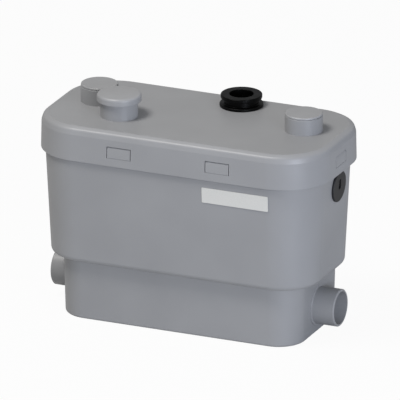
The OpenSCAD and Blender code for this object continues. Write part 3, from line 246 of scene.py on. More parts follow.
finishSetup = {
    # the body's ABS: neutral grey, satin
    "body_plastic": (mouldedPlastic, "mouldedAbs", {
        "low": "#8e8f91", "high": "#939496", "roughness": 0.42, "ior": 1.52,
        "clouds": 90, "grain": 1.1, "depth": 0.02}),
    "cap_plastic": (mouldedPlastic, "mouldedAbsCaps", {
        "low": "#929395", "high": "#97989a", "roughness": 0.4, "ior": 1.52,
        "clouds": 40, "grain": 0.9, "depth": 0.015}),
    # the grommet's polyamide: dark and a little drier than the rubber
    "grommet_plastic": (mouldedPlastic, "mouldedPolyamide", {
        "low": "#131315", "high": "#19191c", "roughness": 0.5, "ior": 1.53,
        "clouds": 18, "grain": 0.6, "depth": 0.015}),
    # unfilled polypropylene: slightly waxy and greasy to the eye
    "deck_plastic": (mouldedPlastic, "mouldedPolypropylene", {
        "low": "#686b70", "high": "#707378", "roughness": 0.38, "ior": 1.49,
        "clouds": 50, "grain": 1.4, "depth": 0.03}),
    "capacitor_plastic": (mouldedPlastic, "capacitorCan", {
        "low": "#d6d5cf", "high": "#dddcd6", "roughness": 0.32, "ior": 1.5,
        "clouds": 25, "grain": 1.2, "depth": 0.01}),
    # melamine of the terminal block: creamy, hard and rather glossy
    "block_plastic": (mouldedPlastic, "mouldedMelamine", {
        "low": "#d9cfb4", "high": "#e1d8bf", "roughness": 0.3, "ior": 1.6,
        "clouds": 12, "grain": 0.8, "depth": 0.01}),
    "pump_plastic": (glassFilledPlastic, "glassFilledPolypropylene", {
        "low": "#1f2022", "high": "#3b3d40", "roughness": 0.55, "fibre": 1.5, "depth": 0.05,
        "fleckRange": (0.45, 0.72)}),
    "black_rubber": (mouldedRubber, "curedRubber", {
        "low": "#020202", "high": "#050505", "roughness": 0.34, "bloom": 9, "skin": 1, "depth": 0.01,
        "shine": 0.1}),
    "pipe_plastic": (extrudedPipe, "extrudedPipe", {
        "low": "#cdccc6", "high": "#d8d7d2", "roughness": 0.33, "line": 0.8, "depth": 0.02}),
    "steel": (turnedMetal, "groundSteel", {
        "low": "#a9abad", "high": "#c9cbcd", "roughness": 0.28, "ring": 0.5, "depth": 0.01}),
    "impeller_brass": (castMetal, "castBrass", {
        "low": "#a98a45", "high": "#c8a962", "roughness": 0.42, "pebble": 1.2, "stain": 8, "depth": 0.08}),
    "motor_aluminium": (castMetal, "dieCastAluminium", {
        "low": "#9a9c9f", "high": "#b9bbbe", "roughness": 0.5, "pebble": 0.9, "stain": 14, "depth": 0.06}),
    "zinc_steel": (platedSteel, "zincPlatedSteel", {
        "low": "#b4b7bd", "high": "#c9c3ac", "roughness": 0.3, "patch": 3, "grain": 0.5,
        "depth": 0.01}),
    "lamination_steel": (stackedSheets, "stackedLaminations", {
        "low": "#474b52", "high": "#6d7178", "roughness": 0.45, "sheet": 1, "depth": 0.08}),
    "winding_copper": (enamelledWire, "enamelledCopper", {
        "low": "#93532b", "high": "#b8713f", "roughness": 0.33, "varnish": 3, "depth": 0.02}),
    "filter_felt": (needledFelt, "carbonFelt", {
        "low": "#1d1d1c", "high": "#343432", "roughness": 0.95, "fibre": 1.2, "tuft": 1.6, "depth": 0.4,
        "sheen": 0.3}),
    "label_white": (labelFilm, "labelFilm", {
        "low": "#c9c9c5", "high": "#cececa", "roughness": 0.38, "peel": 1.5, "depth": 0.01}),
    # fired and lapped ceramic of the seal's faces
    "seal_ceramic": (mouldedPlastic, "lappedCeramic", {
        "low": "#dcd3be", "high": "#e6dfcd", "roughness": 0.2, "ior": 1.76,
        "clouds": 6, "grain": 0.5, "depth": 0.004}),
}
finishes = {slot: make(name, look)[0] for slot, (make, name, look) in finishSetup.items()}
for name, node in frame["nodes"].items():
    node.data.materials.clear()
    node.data.materials.append(finishes[slotOf[name]])
print("finishes made:", len(finishes))


# Shapes
def boxOf(node):
    low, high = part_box(node)
    return [v / mm for v in low], [v / mm for v in high]


def roundNode(node):
    # middle, radius and height of an upright round node
    low, high = boxOf(node)
    return (low[0] + high[0]) / 2, (low[1] + high[1]) / 2, (high[0] - low[0]) / 2, low[2], high[2]


def roundedPath(corners, closed=False, steps=5):
    # corners are (x, y) or (x, y, radius), and a radius becomes an arc between its neighbours
    path = []
    for k, corner in enumerate(corners):
        here = Vector(corner[:2])
        radius = corner[2] if len(corner) > 2 else 0
        if not radius or (not closed and k in (0, len(corners) - 1)):
            path.append(tuple(here))
            continue
        toLast = (Vector(corners[k - 1][:2]) - here).normalized()
        toNext = (Vector(corners[(k + 1) % len(corners)][:2]) - here).normalized()
        half = toLast.angle(toNext) / 2
        centre = here + (toLast + toNext).normalized() * radius / sin(half)
        first = here + toLast * radius / tan(half) - centre
        last = here + toNext * radius / tan(half) - centre
        span = pi - 2 * half
        for s in range(steps + 1):
            share = s / steps
            spoke = (first * sin((1 - share) * span) + last * sin(share * span)) / sin(span)
            path.append(tuple(centre + spoke))
    return path


def lathe(profile, centre, closed=False, steps=96):
    # turns (r, z) points about an upright axis; the outside runs upwards
    points, rows = [], []
    for r, z in profile:
        if r < 1e-6:
            rows.append([len(points)])
            points.append((centre[0], centre[1], z))
            continue
        rows.append(list(range(len(points), len(points) + steps)))
        turns = [2 * pi * k / steps for k in range(steps)]
        points += [(centre[0] + r * cos(t), centre[1] + r * sin(t), z) for t in turns]
    return points, joinRows(rows, closed)


def joinRows(rows, closed):
    faces = []
    for lower, upper in zip(rows, rows[1:] + (rows[:1] if closed else [])):
        steps = max(len(lower), len(upper))
        for k in range(steps):
            n = (k + 1) % steps
            ends = [row[j % len(row)] for row, j in ((lower, k), (lower, n), (upper, n), (upper, k))]
            corners = list(dict.fromkeys(ends))
            if len(corners) > 2:
                faces.append(corners)
    return faces


def roundedRing(plan, r, z, steps=20):
    # plan holds the corner centres' half distances and the ring's shift in y
    halfX, halfY, shift = plan
    points = []
    for k, (x, y) in enumerate(((halfX, halfY), (-halfX, halfY), (-halfX, -halfY), (halfX, -halfY))):
        for s in range(steps + 1):
            turn = pi / 2 * (k + s / steps)
            points.append((x + r * cos(turn), y + shift + r * sin(turn), z))
    return points


def loftRings(rows, closed=False):
    # rows are (plan, r, z); an open loft gets a flat face at each end
    points, indices = [], []
    for plan, r, z in rows:
        ring = roundedRing(plan, r, z)
        indices.append(list(range(len(points), len(points) + len(ring))))
        points += ring
    faces = joinRows(indices, closed)
    if not closed:
        faces += [indices[0][::-1], indices[-1]]
    return points, faces


def prism(outline, z0, z1):
    # an outline drawn anticlockwise, stretched from z0 to z1
    count = len(outline)
    points = [(x, y, z0) for x, y in outline] + [(x, y, z1) for x, y in outline]
    faces = [[k, (k + 1) % count, count + (k + 1) % count, count + k] for k in range(count)]
    return points, faces + [list(range(count))[::-1], list(range(count, 2 * count))]


def block(low, high):
    outline = [(low[0], low[1]), (high[0], low[1]), (high[0], high[1]), (low[0], high[1])]
    return prism(outline, low[2], high[2])


def moved(shape, matrix):
    points, faces = shape
    if matrix.determinant() < 0:
        faces = [face[::-1] for face in faces]
    return [tuple(matrix @ Vector(p)) for p in points], faces


def joined(*shapes):
    points, faces = [], []
    for more, moreFaces in shapes:
        faces += [[k + len(points) for k in face] for face in moreFaces]
        points += more
    return points, faces


def placed(at=(0, 0, 0), turn=0, axis="Z"):
    return Matrix.Translation(at) @ Matrix.Rotation(radians(turn), 4, axis)


def rectangle(low, high, corner, steps=4):
    # a rounded rectangle between two opposite corners; also the section of a ring
    corners = [(low[0], low[1]), (high[0], low[1]), (high[0], high[1]), (low[0], high[1])]
    return roundedPath([place + (corner,) for place in corners], True, steps)


def raised(corners, z):
    return [(corner[0], corner[1] + z) + tuple(corner[2:]) for corner in corners]


def turned(node, corners, steps=96, centre=None):
    # a round shape where the node stands. Each corner is radius, height over the node's lower end
    # and rounding, and a profile that leaves the axis out closes on itself
    x, y, r, z0, z1 = roundNode(node)
    closed = corners[0][0] > 0
    return lathe(roundedPath(raised(corners, z0), closed), centre or (x, y), closed, steps)


def solidRod(x, y, r, z0, z1, edge=0):
    return lathe(roundedPath([(0, z0), (r, z0), (r, z1, edge), (0, z1)]), (x, y))


def meshPiece(name, shape, finish):
    points, faces = shape
    mesh = bpy.data.meshes.new(name)
    mesh.from_pydata([Vector(p) * mm for p in points], [], faces)
    mesh.materials.append(finish)
    piece = bpy.data.objects.new(name, mesh)
    scene.collection.objects.link(piece)
    return piece


def bake(piece):
    # the modifiers' result becomes the piece's own mesh
    finish = piece.data.materials[0]
    graph = bpy.context.evaluated_depsgraph_get()
    mesh = bpy.data.meshes.new_from_object(piece.evaluated_get(graph))
    piece.modifiers.clear()
    old, piece.data = piece.data, mesh
    bpy.data.meshes.remove(old)
    mesh.name = piece.name
    mesh.materials.clear()
    mesh.materials.append(finish)
    for face in mesh.polygons:
        face.material_index = 0


def toolFor(piece, shape):
    # a shape as an object, in the finish of the piece that it will join or cut
    return meshPiece("tool", shape, piece.data.materials[0])


def combineWith(piece, tool, operation):
    # adds or cuts a closed object, which is thrown away afterwards
    cut = piece.modifiers.new("cut", "BOOLEAN")
    cut.object, cut.operation, cut.solver = tool, operation, "EXACT"
    bake(piece)
    bpy.data.objects.remove(tool)


def combine(piece, shape, operation):
    combineWith(piece, toolFor(piece, shape), operation)


def absorb(piece, other):
    # takes another object's mesh into the piece's own
    work = bmesh.new()
    work.from_mesh(piece.data)
    work.from_mesh(other.data)
    work.to_mesh(piece.data)
    work.free()
    bpy.data.objects.remove(other)


def smoothShade(piece, sharp, bevel=0):
    # bevel in millimetres rounds the sharp edges; flat faces keep flat shading by weighted normals
    if bevel:
        edges = piece.modifiers.new("edges", "BEVEL")
        edges.width, edges.segments = bevel * mm, 2
        edges.limit_method, edges.angle_limit = "ANGLE", radians(sharp)
        edges.use_clamp_overlap = True
        bake(piece)
    piece.data.shade_smooth()
    piece.data.set_sharp_from_angle(angle=radians(sharp))
    normals = piece.modifiers.new("normals", "WEIGHTED_NORMAL")
    normals.keep_sharp = True
    bake(piece)


def standsFor(piece, node):
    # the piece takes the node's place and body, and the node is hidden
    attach(piece, bodyOf[node])
    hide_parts(node)


def started(node, shape):
    return meshPiece(node + "_shaped", shape, finishes[slotOf[node]])


def ended(piece, node, sharp=30, bevel=0):
    smoothShade(piece, sharp, bevel)
    standsFor(piece, node)


def finished(node, shape, sharp=35, bevel=0):
    # a whole piece from one closed shape
    ended(started(node, shape), node, sharp, bevel)


def softenedCopy(node, bevel):
    # a copy of the CAD mesh, merged, with its flat faces whole and its edges rounded
    mesh = frame["nodes"][node].data.copy()
    work = bmesh.new()
    work.from_mesh(mesh)
    bmesh.ops.remove_doubles(work, verts=work.verts, dist=0.002 * mm)
    bmesh.ops.dissolve_limit(work, angle_limit=radians(0.5), verts=work.verts, edges=work.edges)
    work.to_mesh(mesh)
    work.free()
    piece = bpy.data.objects.new(node + "_shaped", mesh)
    scene.collection.objects.link(piece)
    ended(piece, node, 30, bevel)


def gear(name, sockets):
    # starts a Geometry Nodes tree with named inputs and returns it with its group input
    tree = bpy.data.node_groups.new(name, "GeometryNodeTree")
    tree.interface.new_socket("Geometry", in_out="OUTPUT", socket_type="NodeSocketGeometry")
    tree.interface.new_socket("Geometry", in_out="INPUT", socket_type="NodeSocketGeometry")
    for socket, kind in sockets.items():
        tree.interface.new_socket(socket, in_out="INPUT", socket_type="NodeSocket" + kind)
    return tree, addNode(tree, "NodeGroupInput").outputs


def closeGear(tree, group, geometry):
    whole = addNode(tree, "GeometryNodeRealizeInstances", None, {0: geometry})
    painted = addNode(tree, "GeometryNodeSetMaterial", None, {
        "Geometry": whole.outputs[0], "Material": group["Finish"]})
    addNode(tree, "NodeGroupOutput", None, {0: painted.outputs[0]})


def copiesRoundAxis():
    # repeats the piece about an upright axis; each copy may stand farther out than the last
    tree, group = gear("copiesRoundAxis", {
        "Copies": "Int", "Radius": "Float", "Growth": "Float", "Start": "Float", "Step": "Float",
        "Offset": "Vector", "Middle": "Vector", "Finish": "Material"})
    index = addNode(tree, "GeometryNodeInputIndex").outputs[0]
    turn = addNode(tree, "ShaderNodeMath", {"operation": "MULTIPLY_ADD"}, {
        0: index, 1: group["Step"], 2: group["Start"]}).outputs[0]
    reach = addNode(tree, "ShaderNodeMath", {"operation": "MULTIPLY_ADD"}, {
        0: index, 1: group["Growth"], 2: group["Radius"]}).outputs[0]
    seat = addNode(tree, "ShaderNodeCombineXYZ", None, {0: reach}).outputs[0]
    seat = addNode(tree, "ShaderNodeVectorMath", {"operation": "ADD"}, {
        0: seat, 1: group["Offset"]}).outputs[0]
    seat = addNode(tree, "ShaderNodeVectorRotate", {"rotation_type": "Z_AXIS"}, {
        "Vector": seat, "Angle": turn}).outputs[0]
    seat = addNode(tree, "ShaderNodeVectorMath", {"operation": "ADD"}, {
        0: seat, 1: group["Middle"]}).outputs[0]
    facing = addNode(tree, "FunctionNodeAxisAngleToRotation", None, {
        "Axis": (0, 0, 1), "Angle": turn}).outputs[0]
    seats = addNode(tree, "GeometryNodePoints", None, {"Count": group["Copies"], "Position": seat})
    copies = addNode(tree, "GeometryNodeInstanceOnPoints", None, {
        "Points": seats.outputs[0], "Instance": group["Geometry"], "Rotation": facing})
    closeGear(tree, group, copies.outputs[0])
    return tree


def copiesOnGrid():
    tree, group = gear("copiesOnGrid", {
        "Width": "Float", "Depth": "Float", "Columns": "Int", "Rows": "Int",
        "Middle": "Vector", "Finish": "Material"})
    grid = addNode(tree, "GeometryNodeMeshGrid", None, {
        "Size X": group["Width"], "Size Y": group["Depth"],
        "Vertices X": group["Columns"], "Vertices Y": group["Rows"]}).outputs[0]
    grid = addNode(tree, "GeometryNodeSetPosition", None, {
        "Geometry": grid, "Offset": group["Middle"]}).outputs[0]
    copies = addNode(tree, "GeometryNodeInstanceOnPoints", None, {
        "Points": grid, "Instance": group["Geometry"]})
    closeGear(tree, group, copies.outputs[0])
    return tree


def coiledWire():
    # one wire wound round a ring: the geometry that comes in is ignored, and the coil follows a rule
    tree, group = gear("coiledWire", {
        "Turns": "Int", "Points": "Int", "Ring radius": "Float", "Coil width": "Float",
        "Coil height": "Float", "Wire": "Float", "Middle": "Vector", "Finish": "Material"})
    index = addNode(tree, "GeometryNodeInputIndex").outputs[0]
    share = addNode(tree, "ShaderNodeMath", {"operation": "DIVIDE"}, {
        0: index, 1: group["Points"]}).outputs[0]
    round1 = addNode(tree, "ShaderNodeMath", {"operation": "MULTIPLY"}, {0: share, 1: 2 * pi}).outputs[0]
    round2 = addNode(tree, "ShaderNodeMath", {"operation": "MULTIPLY"}, {
        0: round1, 1: group["Turns"]}).outputs[0]
    across = addNode(tree, "ShaderNodeMath", {"operation": "COSINE"}, {0: round2}).outputs[0]
    reach = addNode(tree, "ShaderNodeMath", {"operation": "MULTIPLY_ADD"}, {
        0: across, 1: group["Coil width"], 2: group["Ring radius"]}).outputs[0]
    up = addNode(tree, "ShaderNodeMath", {"operation": "SINE"}, {0: round2}).outputs[0]
    height = addNode(tree, "ShaderNodeMath", {"operation": "MULTIPLY"}, {
        0: up, 1: group["Coil height"]}).outputs[0]
    spoke = addNode(tree, "ShaderNodeCombineXYZ", None, {0: reach, 2: height}).outputs[0]
    spoke = addNode(tree, "ShaderNodeVectorRotate", {"rotation_type": "Z_AXIS"}, {
        "Vector": spoke, "Angle": round1}).outputs[0]
    spoke = addNode(tree, "ShaderNodeVectorMath", {"operation": "ADD"}, {
        0: spoke, 1: group["Middle"]}).outputs[0]
    dots = addNode(tree, "GeometryNodePoints", None, {"Count": group["Points"], "Position": spoke})
    route = addNode(tree, "GeometryNodePointsToCurves", None, {0: dots.outputs[0]}).outputs[0]
    route = addNode(tree, "GeometryNodeSetSplineCyclic", None, {"Geometry": route, "Cyclic": True}).outputs[0]
    section = addNode(tree, "GeometryNodeCurvePrimitiveCircle", {"mode": "RADIUS"}, {
        "Resolution": 6, "Radius": group["Wire"]}).outputs[0]
    wire = addNode(tree, "GeometryNodeCurveToMesh", None, {"Curve": route, "Profile Curve": section})
    closeGear(tree, group, wire.outputs[0])
    return tree


ringGear = copiesRoundAxis()
gridGear = copiesOnGrid()
wireGear = coiledWire()


def runGear(piece, tree, values):
    # sets each input by its socket's identifier, then turns the result into a plain mesh
    gears = piece.modifiers.new("gears", "NODES")
    gears.node_group = tree
    sockets = {s.name: s.identifier for s in tree.interface.items_tree if s.in_out == "INPUT"}
    for name, value in values.items():
        gears[sockets[name]] = value
    gears[sockets["Finish"]] = piece.data.materials[0]
    bake(piece)
    return piece


def gearValues(copies, radius, start, step, seat, growth=0, offset=(0, 0, 0)):
    return {"Copies": copies, "Radius": radius * mm, "Growth": growth * mm, "Start": radians(start),
            "Step": radians(step), "Offset": [v * mm for v in offset], "Middle": [v * mm for v in seat]}


def roundAxis(tool, copies, start, seat):
    # copies of a tool, turned about the upright axis at seat
    return runGear(tool, ringGear, gearValues(copies, 0, start, 360 / copies, seat))


def combineRound(piece, shape, copies, start, seat, operation):
    combineWith(piece, roundAxis(toolFor(piece, shape), copies, start, seat), operation)


print("shape and gear functions ready")

# Walls. A plan is the half distances of the corner centres and the shift in y, and run is the
# length of a flat that leads a profile in, whose far end is dropped
wallSetup = {
    "lidWidth": 410, "lidDepth": 206, "lidCorner": 69, "lidTop": 275, "lidSkirt": 47, "lidDraft": 1.2,
    "lidWall": 3.5, "lidEdge": 8.5, "lidEdgeDrop": 2, "lidEdgeBreak": (2.2, 3.2), "lidLip": 0.8,
    "tankWidth": 380, "tankDepth": 179.5, "tankCorner": 54, "tankDraft": 2.9, "tankShift": -2.5,
    "stepHeight": 83, "stepEdge": 7.5, "wall": 4, "shoulder": 227, "neckInset": 2.5, "rim": 264,
    "sumpWidth": 340, "sumpDepth": 164, "sumpCorner": 37.5, "sumpDraft": 1.5, "sumpShift": 3,
    "sumpEdge": 3.5, "ledge": 87, "smallEdge": 0.8, "run": 20,
    "spigot": 25, "spigotWall": 3, "inletHeight": 38, "chamfer": 1, "rootRing": 27.5,
    "rootReach": 172.5, "rootEdge": 0.6,
}
w = wallSetup
lidPlan = (w["lidWidth"] / 2 - w["lidCorner"], w["lidDepth"] / 2 - w["lidCorner"], 0)
tankPlan = (w["tankWidth"] / 2 - w["tankCorner"], w["tankDepth"] / 2 - w["tankCorner"], w["tankShift"])
sumpPlan = (w["sumpWidth"] / 2 - w["sumpCorner"], w["sumpDepth"] / 2 - w["sumpCorner"], w["sumpShift"])
skirtLean, tankLean, sumpLean = [tan(radians(w[part + "Draft"])) for part in ("lid", "tank", "sump")]
shoulderR = w["tankCorner"] + (w["shoulder"] - w["stepHeight"]) * tankLean
neckR = shoulderR - w["neckInset"]
neckInnerR = neckR - w["wall"]
lidUnder = w["lidTop"] - w["lidWall"]
spigotBore = w["spigot"] - w["spigotWall"]


def wallReach(z):
    # how far the motor compartment's wall stands out from its corner centres
    return w["tankCorner"] + (z - w["stepHeight"]) * tankLean


# Snap tongues: place on the skirt's lower edge, turn, and the gap behind the skirt to the neck
tongueSetup = {
    "width": 34.5, "height": 16, "slot": 1, "rise": 11.5, "across": 70, "endPlace": -4,
    "bevelBand": 3.3, "bevelDepth": 1.2, "bevelOver": 0.2, "rootLine": 0.5, "rootRise": 0.1,
    "lugMargin": 3, "lugGap": 0.3,
}
t = tongueSetup
halfW, halfD = w["lidWidth"] / 2, w["lidDepth"] / 2
tongueSites = []
for face, turn in ((-1, 180), (1, 0)):
    gap = halfD - face * w["tankShift"] - tankPlan[1] - neckR
    tongueSites += [(side * t["across"], face * halfD, turn, gap) for side in (-1, 1)]
tongueSites += [(side * halfW, t["endPlace"], -90 * side, halfW - tankPlan[0] - neckR) for side in (1, -1)]


def atTongues(make):
    # each shape is made for the gap behind its tongue, which only the lug needs
    low = w["lidTop"] - w["lidSkirt"] + t["rise"]
    return joined(*[moved(make(gap), placed((x, y, low), turn)) for x, y, turn, gap in tongueSites])


def tongueSlot(gap):
    # one upturned U round the tongue
    half, top, slot = t["width"] / 2, t["height"], t["slot"]
    outline = [(-half, 0), (-half + slot, 0), (-half + slot, top - slot), (half - slot, top - slot),
               (half - slot, 0), (half, 0), (half, top), (-half, top)]
    deep = w["lidWall"] + w["lidSkirt"] * skirtLean + overrun
    return moved(prism(outline, -overrun, deep), placed((0, 0, 0), 90, "X"))


def tongueBevel(gap):
    # the tongue's top leans back into the slot
    half, top = (t["width"] - t["slot"]) / 2, t["height"] - t["slot"]
    low, high = top - t["bevelBand"], top + t["bevelOver"]
    face = [-(t["rise"] + z) * skirtLean for z in (low, top)]
    outline = [(overrun, low), (overrun, high), (face[1] - t["bevelDepth"], high), (face[0], low)]
    sideways = Matrix(((0, 0, 1, 0), (1, 0, 0, 0), (0, 1, 0, 0), (0, 0, 0, 1)))
    return moved(prism(outline, -half, half), sideways)


def tongueRoot(gap):
    # a line where the tongue bends
    half, face = (t["width"] - t["slot"]) / 2, -t["rise"] * skirtLean
    return block((-half, face - t["rootLine"], t["rootRise"]),
                 (half, overrun, t["rootRise"] + t["rootLine"]))


def tongueLug(gap):
    # what a tongue would hook under, on the tank's neck
    m, half = t["lugMargin"], t["width"] / 2
    face = w["lidWall"] + w["lidSkirt"] * skirtLean / 2 + t["lugGap"]
    return block((-half + m, -gap - w["wall"] / 2, m), (half - m, -face, t["height"] - m))


# The lid's spigots stand under the caps that close them, each to its own height
lidSetup = {
    "spigots": {"left_blanking_cap": 296.5, "right_blanking_cap": 296.5, "vent_cap": 298.5},
    "spigotEdge": 1, "ribsAt": (-46, 72), "ribHalf": (1.25, 75), "ribDepth": 4.5, "collarHole": 18.8,
    "edgeRound": (5, 6, 6), "below": 10, "above": 5, "collarAbove": 10,
}


def makeLid():
    s = lidSetup
    low, top = w["lidTop"] - w["lidSkirt"], w["lidTop"]
    crown = w["lidCorner"] - w["lidSkirt"] * skirtLean
    inner = crown - w["lidWall"]
    inwards, down = w["lidEdgeBreak"]
    profile = roundedPath([
        (inner - w["run"], lidUnder), (inner, lidUnder, w["lidEdge"] - w["lidWall"]),
        (inner + (lidUnder - low) * skirtLean, low, w["lidLip"] / 2), (w["lidCorner"], low, w["lidLip"]),
        (crown + w["lidEdge"] * skirtLean, top - w["lidEdge"] - w["lidEdgeDrop"], s["edgeRound"][0]),
        (crown - inwards, top - down, s["edgeRound"][1]), (crown - w["lidEdge"], top, s["edgeRound"][2]),
        (crown - w["lidEdge"] - w["run"], top)], steps=6)[1:-1]
    piece = meshPiece("lid_shell", loftRings([(lidPlan, r, z) for r, z in profile]), finishes["body_plastic"])
    for cut in (tongueSlot, tongueBevel, tongueRoot):
        combine(piece, atTongues(cut), "DIFFERENCE")
    spigots = [roundNode(cap)[:2] + (z1,) for cap, z1 in s["spigots"].items()]
    rods = [solidRod(x, y, w["spigot"], lidUnder + overrun, z1, s["spigotEdge"]) for x, y, z1 in spigots]
    combine(piece, joined(*rods), "UNION")
    a, b = s["ribHalf"]
    ribLow, ribHigh = lidUnder - s["ribDepth"], lidUnder + overrun
    ribs = [block((x - a, -b, ribLow), (x + a, b, ribHigh)) for x in s["ribsAt"]]
    combine(piece, joined(*ribs), "UNION")
    holes = [solidRod(x, y, spigotBore, lidUnder - s["below"], z1 + s["above"]) for x, y, z1 in spigots]
    x, y = roundNode("discharge_collar")[:2]
    holes.append(solidRod(x, y, s["collarHole"], lidUnder - s["below"], top + s["collarAbove"]))
    combine(piece, joined(*holes), "DIFFERENCE")
    ended(piece, "lid")


# z points out of the end wall at the grommet, and x down it
grommetAt = (5, 205.5)
grommetFrame = placed((tankPlan[0] + wallReach(grommetAt[1]),) + grommetAt, 90 + w["tankDraft"], "Y")

tankSetup = {"bossRadius": 5, "bossHeight": 2, "bossEdge": 0.3, "pilot": 2.05, "pilotTop": 8,
             "wayOver": 2, "grommetHole": 16.3, "grommetCut": (-25, 15)}


def makeTank():
    s = tankSetup
    step, ledge, floor, run = w["stepHeight"], w["ledge"], w["wall"], w["run"]
    small, sumpAtStep = w["smallEdge"], w["sumpCorner"] + w["stepHeight"] * sumpLean
    sumpInner, tankInner = w["sumpCorner"] - floor, w["tankCorner"] - floor
    sumpOuter = roundedPath([
        (w["sumpCorner"] - run, 0), (w["sumpCorner"], 0, w["sumpEdge"]), (sumpAtStep, step)], steps=6)[1:]
    upper = roundedPath([
        (w["tankCorner"] - run, step), (w["tankCorner"], step, w["stepEdge"]),
        (shoulderR, w["shoulder"], small), (neckR, w["shoulder"]), (neckR, w["rim"], small),
        (neckInnerR, w["rim"], small), (neckInnerR, w["shoulder"]), (tankInner, ledge, small),
        (tankInner - run, ledge)], steps=6)[1:-1]
    sumpTop = sumpInner + (ledge - floor) * sumpLean
    sumpInside = roundedPath([
        (sumpTop + run, ledge), (sumpTop, ledge, small), (sumpInner, floor, w["sumpEdge"]),
        (sumpInner - run, floor)], steps=6)[1:-1]
    rows = [(plan, r, z) for plan, path in ((sumpPlan, sumpOuter), (tankPlan, upper), (sumpPlan, sumpInside))
            for r, z in path]
    piece = meshPiece("tank_shell", loftRings(rows), finishes["body_plastic"])
    reach = boxOf("tank")[1][0]
    rod = roundedPath([
        (0, sumpPlan[0]), (w["rootRing"], sumpPlan[0]), (w["rootRing"], w["rootReach"], w["rootEdge"]),
        (w["spigot"], w["rootReach"], w["rootEdge"]), (w["spigot"], reach - w["chamfer"]),
        (w["spigot"] - w["chamfer"], reach), (0, reach)])
    along = [placed((0, 0, w["inletHeight"]), side * 90, "Y") for side in (1, -1)]
    combine(piece, joined(*[moved(lathe(rod, (0, 0)), m) for m in along]), "UNION")
    combine(piece, atTongues(tongueLug), "UNION")
    screws = screwSeats("deck_screws")
    bosses = [solidRod(x, y, s["bossRadius"], ledge - overrun, ledge + s["bossHeight"], s["bossEdge"])
              for x, y in screws]
    combine(piece, joined(*bosses), "UNION")
    cuts = [moved(solidRod(0, 0, spigotBore, -reach - s["wayOver"], reach + s["wayOver"]), along[0]),
            moved(solidRod(0, 0, s["grommetHole"], *s["grommetCut"]), grommetFrame)]
    cuts += [solidRod(x, y, s["pilot"], step + overrun, ledge + s["pilotTop"]) for x, y in screws]
    combine(piece, joined(*cuts), "DIFFERENCE")
    ended(piece, "tank")


def screwSeats(node):
    # the four corners of a 2 by 2 group of screws
    low, high = boxOf(node)
    head = screwSetup["head"]
    return [(x, y) for x in (low[0] + head, high[0] - head) for y in (low[1] + head, high[1] - head)]


# Pan-head screws. The tank has its bosses under the heads of the deck's
screwSetup = {"shank": 2, "crest": 0.25, "pitch": 1.25, "point": 0.6, "threadLow": 0.9, "plain": 2,
              "head": 4, "headHeight": 3, "headFoot": (0.4, 0.3), "dome": 1.6, "cross": 1.1,
              "crossReach": 2.3, "crossDepth": 1.8}

makeLid()
makeTank()
print("lid and tank made")

capSetup = {"rim": 3, "rimFoot": 0.7, "edge": 1.7, "plug": 21.7, "plugWall": 2.5, "plugEdge": 0.8}
ventSetup = {"height": 9.5, "crown": 1.8, "topEdge": 4, "lowEdge": 0.8, "skirt": 2, "skirtIn": 25.3,
             "dome": (0.5, 0.3, 30)}
fineEdge = 0.4


def capPlug(seat, low):
    # the hollow plug under a cap, from the middle of its seat out to its side
    c = capSetup
    inside = c["plug"] - c["plugWall"]
    return [(0, seat), (inside, seat), (inside, low, fineEdge), (c["plug"], low, c["plugEdge"]),
            (c["plug"], seat)]


def makeCaps():
    c, v = capSetup, ventSetup
    for node in ("left_blanking_cap", "right_blanking_cap"):
        x, y, r, z0, z1 = roundNode(node)
        seat = z1 - c["rim"]
        rim = [(r, seat, c["rimFoot"]), (r, z1, c["edge"]), (0, z1)]
        finished(node, lathe(roundedPath(capPlug(seat, z0) + rim), (x, y), steps=120))
    x, y, r, z0, z1 = roundNode("vent_cap")
    seat = z1 - v["height"]
    share, drop, rounding = v["dome"]
    dome = [(v["skirtIn"], seat), (v["skirtIn"], seat - v["skirt"], fineEdge),
            (r, seat - v["skirt"], v["lowEdge"]), (r, z1 - v["crown"], v["topEdge"]),
            (r * share, z1 - drop, rounding), (0, z1)]
    finished("vent_cap", lathe(roundedPath(capPlug(seat, z0) + dome, steps=8), (x, y), steps=128))


collarSetup = {
    "flange": 29, "flangeHeight": 4, "neck": 23.25, "bead": 27.5, "beadHeight": 5.4, "sleeve": 18.5,
    "lock": 20.3, "lockHeight": 3, "lockGap": 0.3, "riserSocket": 13.1, "socketTop": 265.1,
    "riserBore": 10.5, "pipeBore": 16, "pipeLow": 268, "edge": 1.1,
}


def makeCollar():
    c = collarSetup
    x, y, r, z0, z1 = roundNode("discharge_collar")
    lockTop = lidUnder - c["lockGap"]
    lockLow, flangeTop = lockTop - c["lockHeight"], w["lidTop"] + c["flangeHeight"]
    bead0 = z1 - c["beadHeight"]
    profile = roundedPath([
        (c["riserSocket"], z0, 0.4), (c["sleeve"], z0, 0.8), (c["sleeve"], lockLow, 0.4),
        (c["lock"], lockLow, 0.8), (c["lock"], lockTop, 0.5), (c["sleeve"], lockTop),
        (c["sleeve"], w["lidTop"]), (c["flange"], w["lidTop"], 0.6), (c["flange"], flangeTop, c["edge"]),
        (c["neck"], flangeTop, 0.8), (c["neck"], bead0, 0.8), (c["bead"], bead0, c["edge"]),
        (c["bead"], z1, c["edge"]), (c["pipeBore"], z1, 0.8), (c["pipeBore"], c["pipeLow"]),
        (c["riserBore"], c["pipeLow"], 0.5), (c["riserBore"], c["socketTop"]),
        (c["riserSocket"], c["socketTop"])], closed=True, steps=4)
    finished("discharge_collar", lathe(profile, (x, y), True, 120))


labelSetup = {"height": 21, "thick": 0.75, "corner": 1.2, "edge": 0.15, "middle": 206.5, "glue": 0.05}


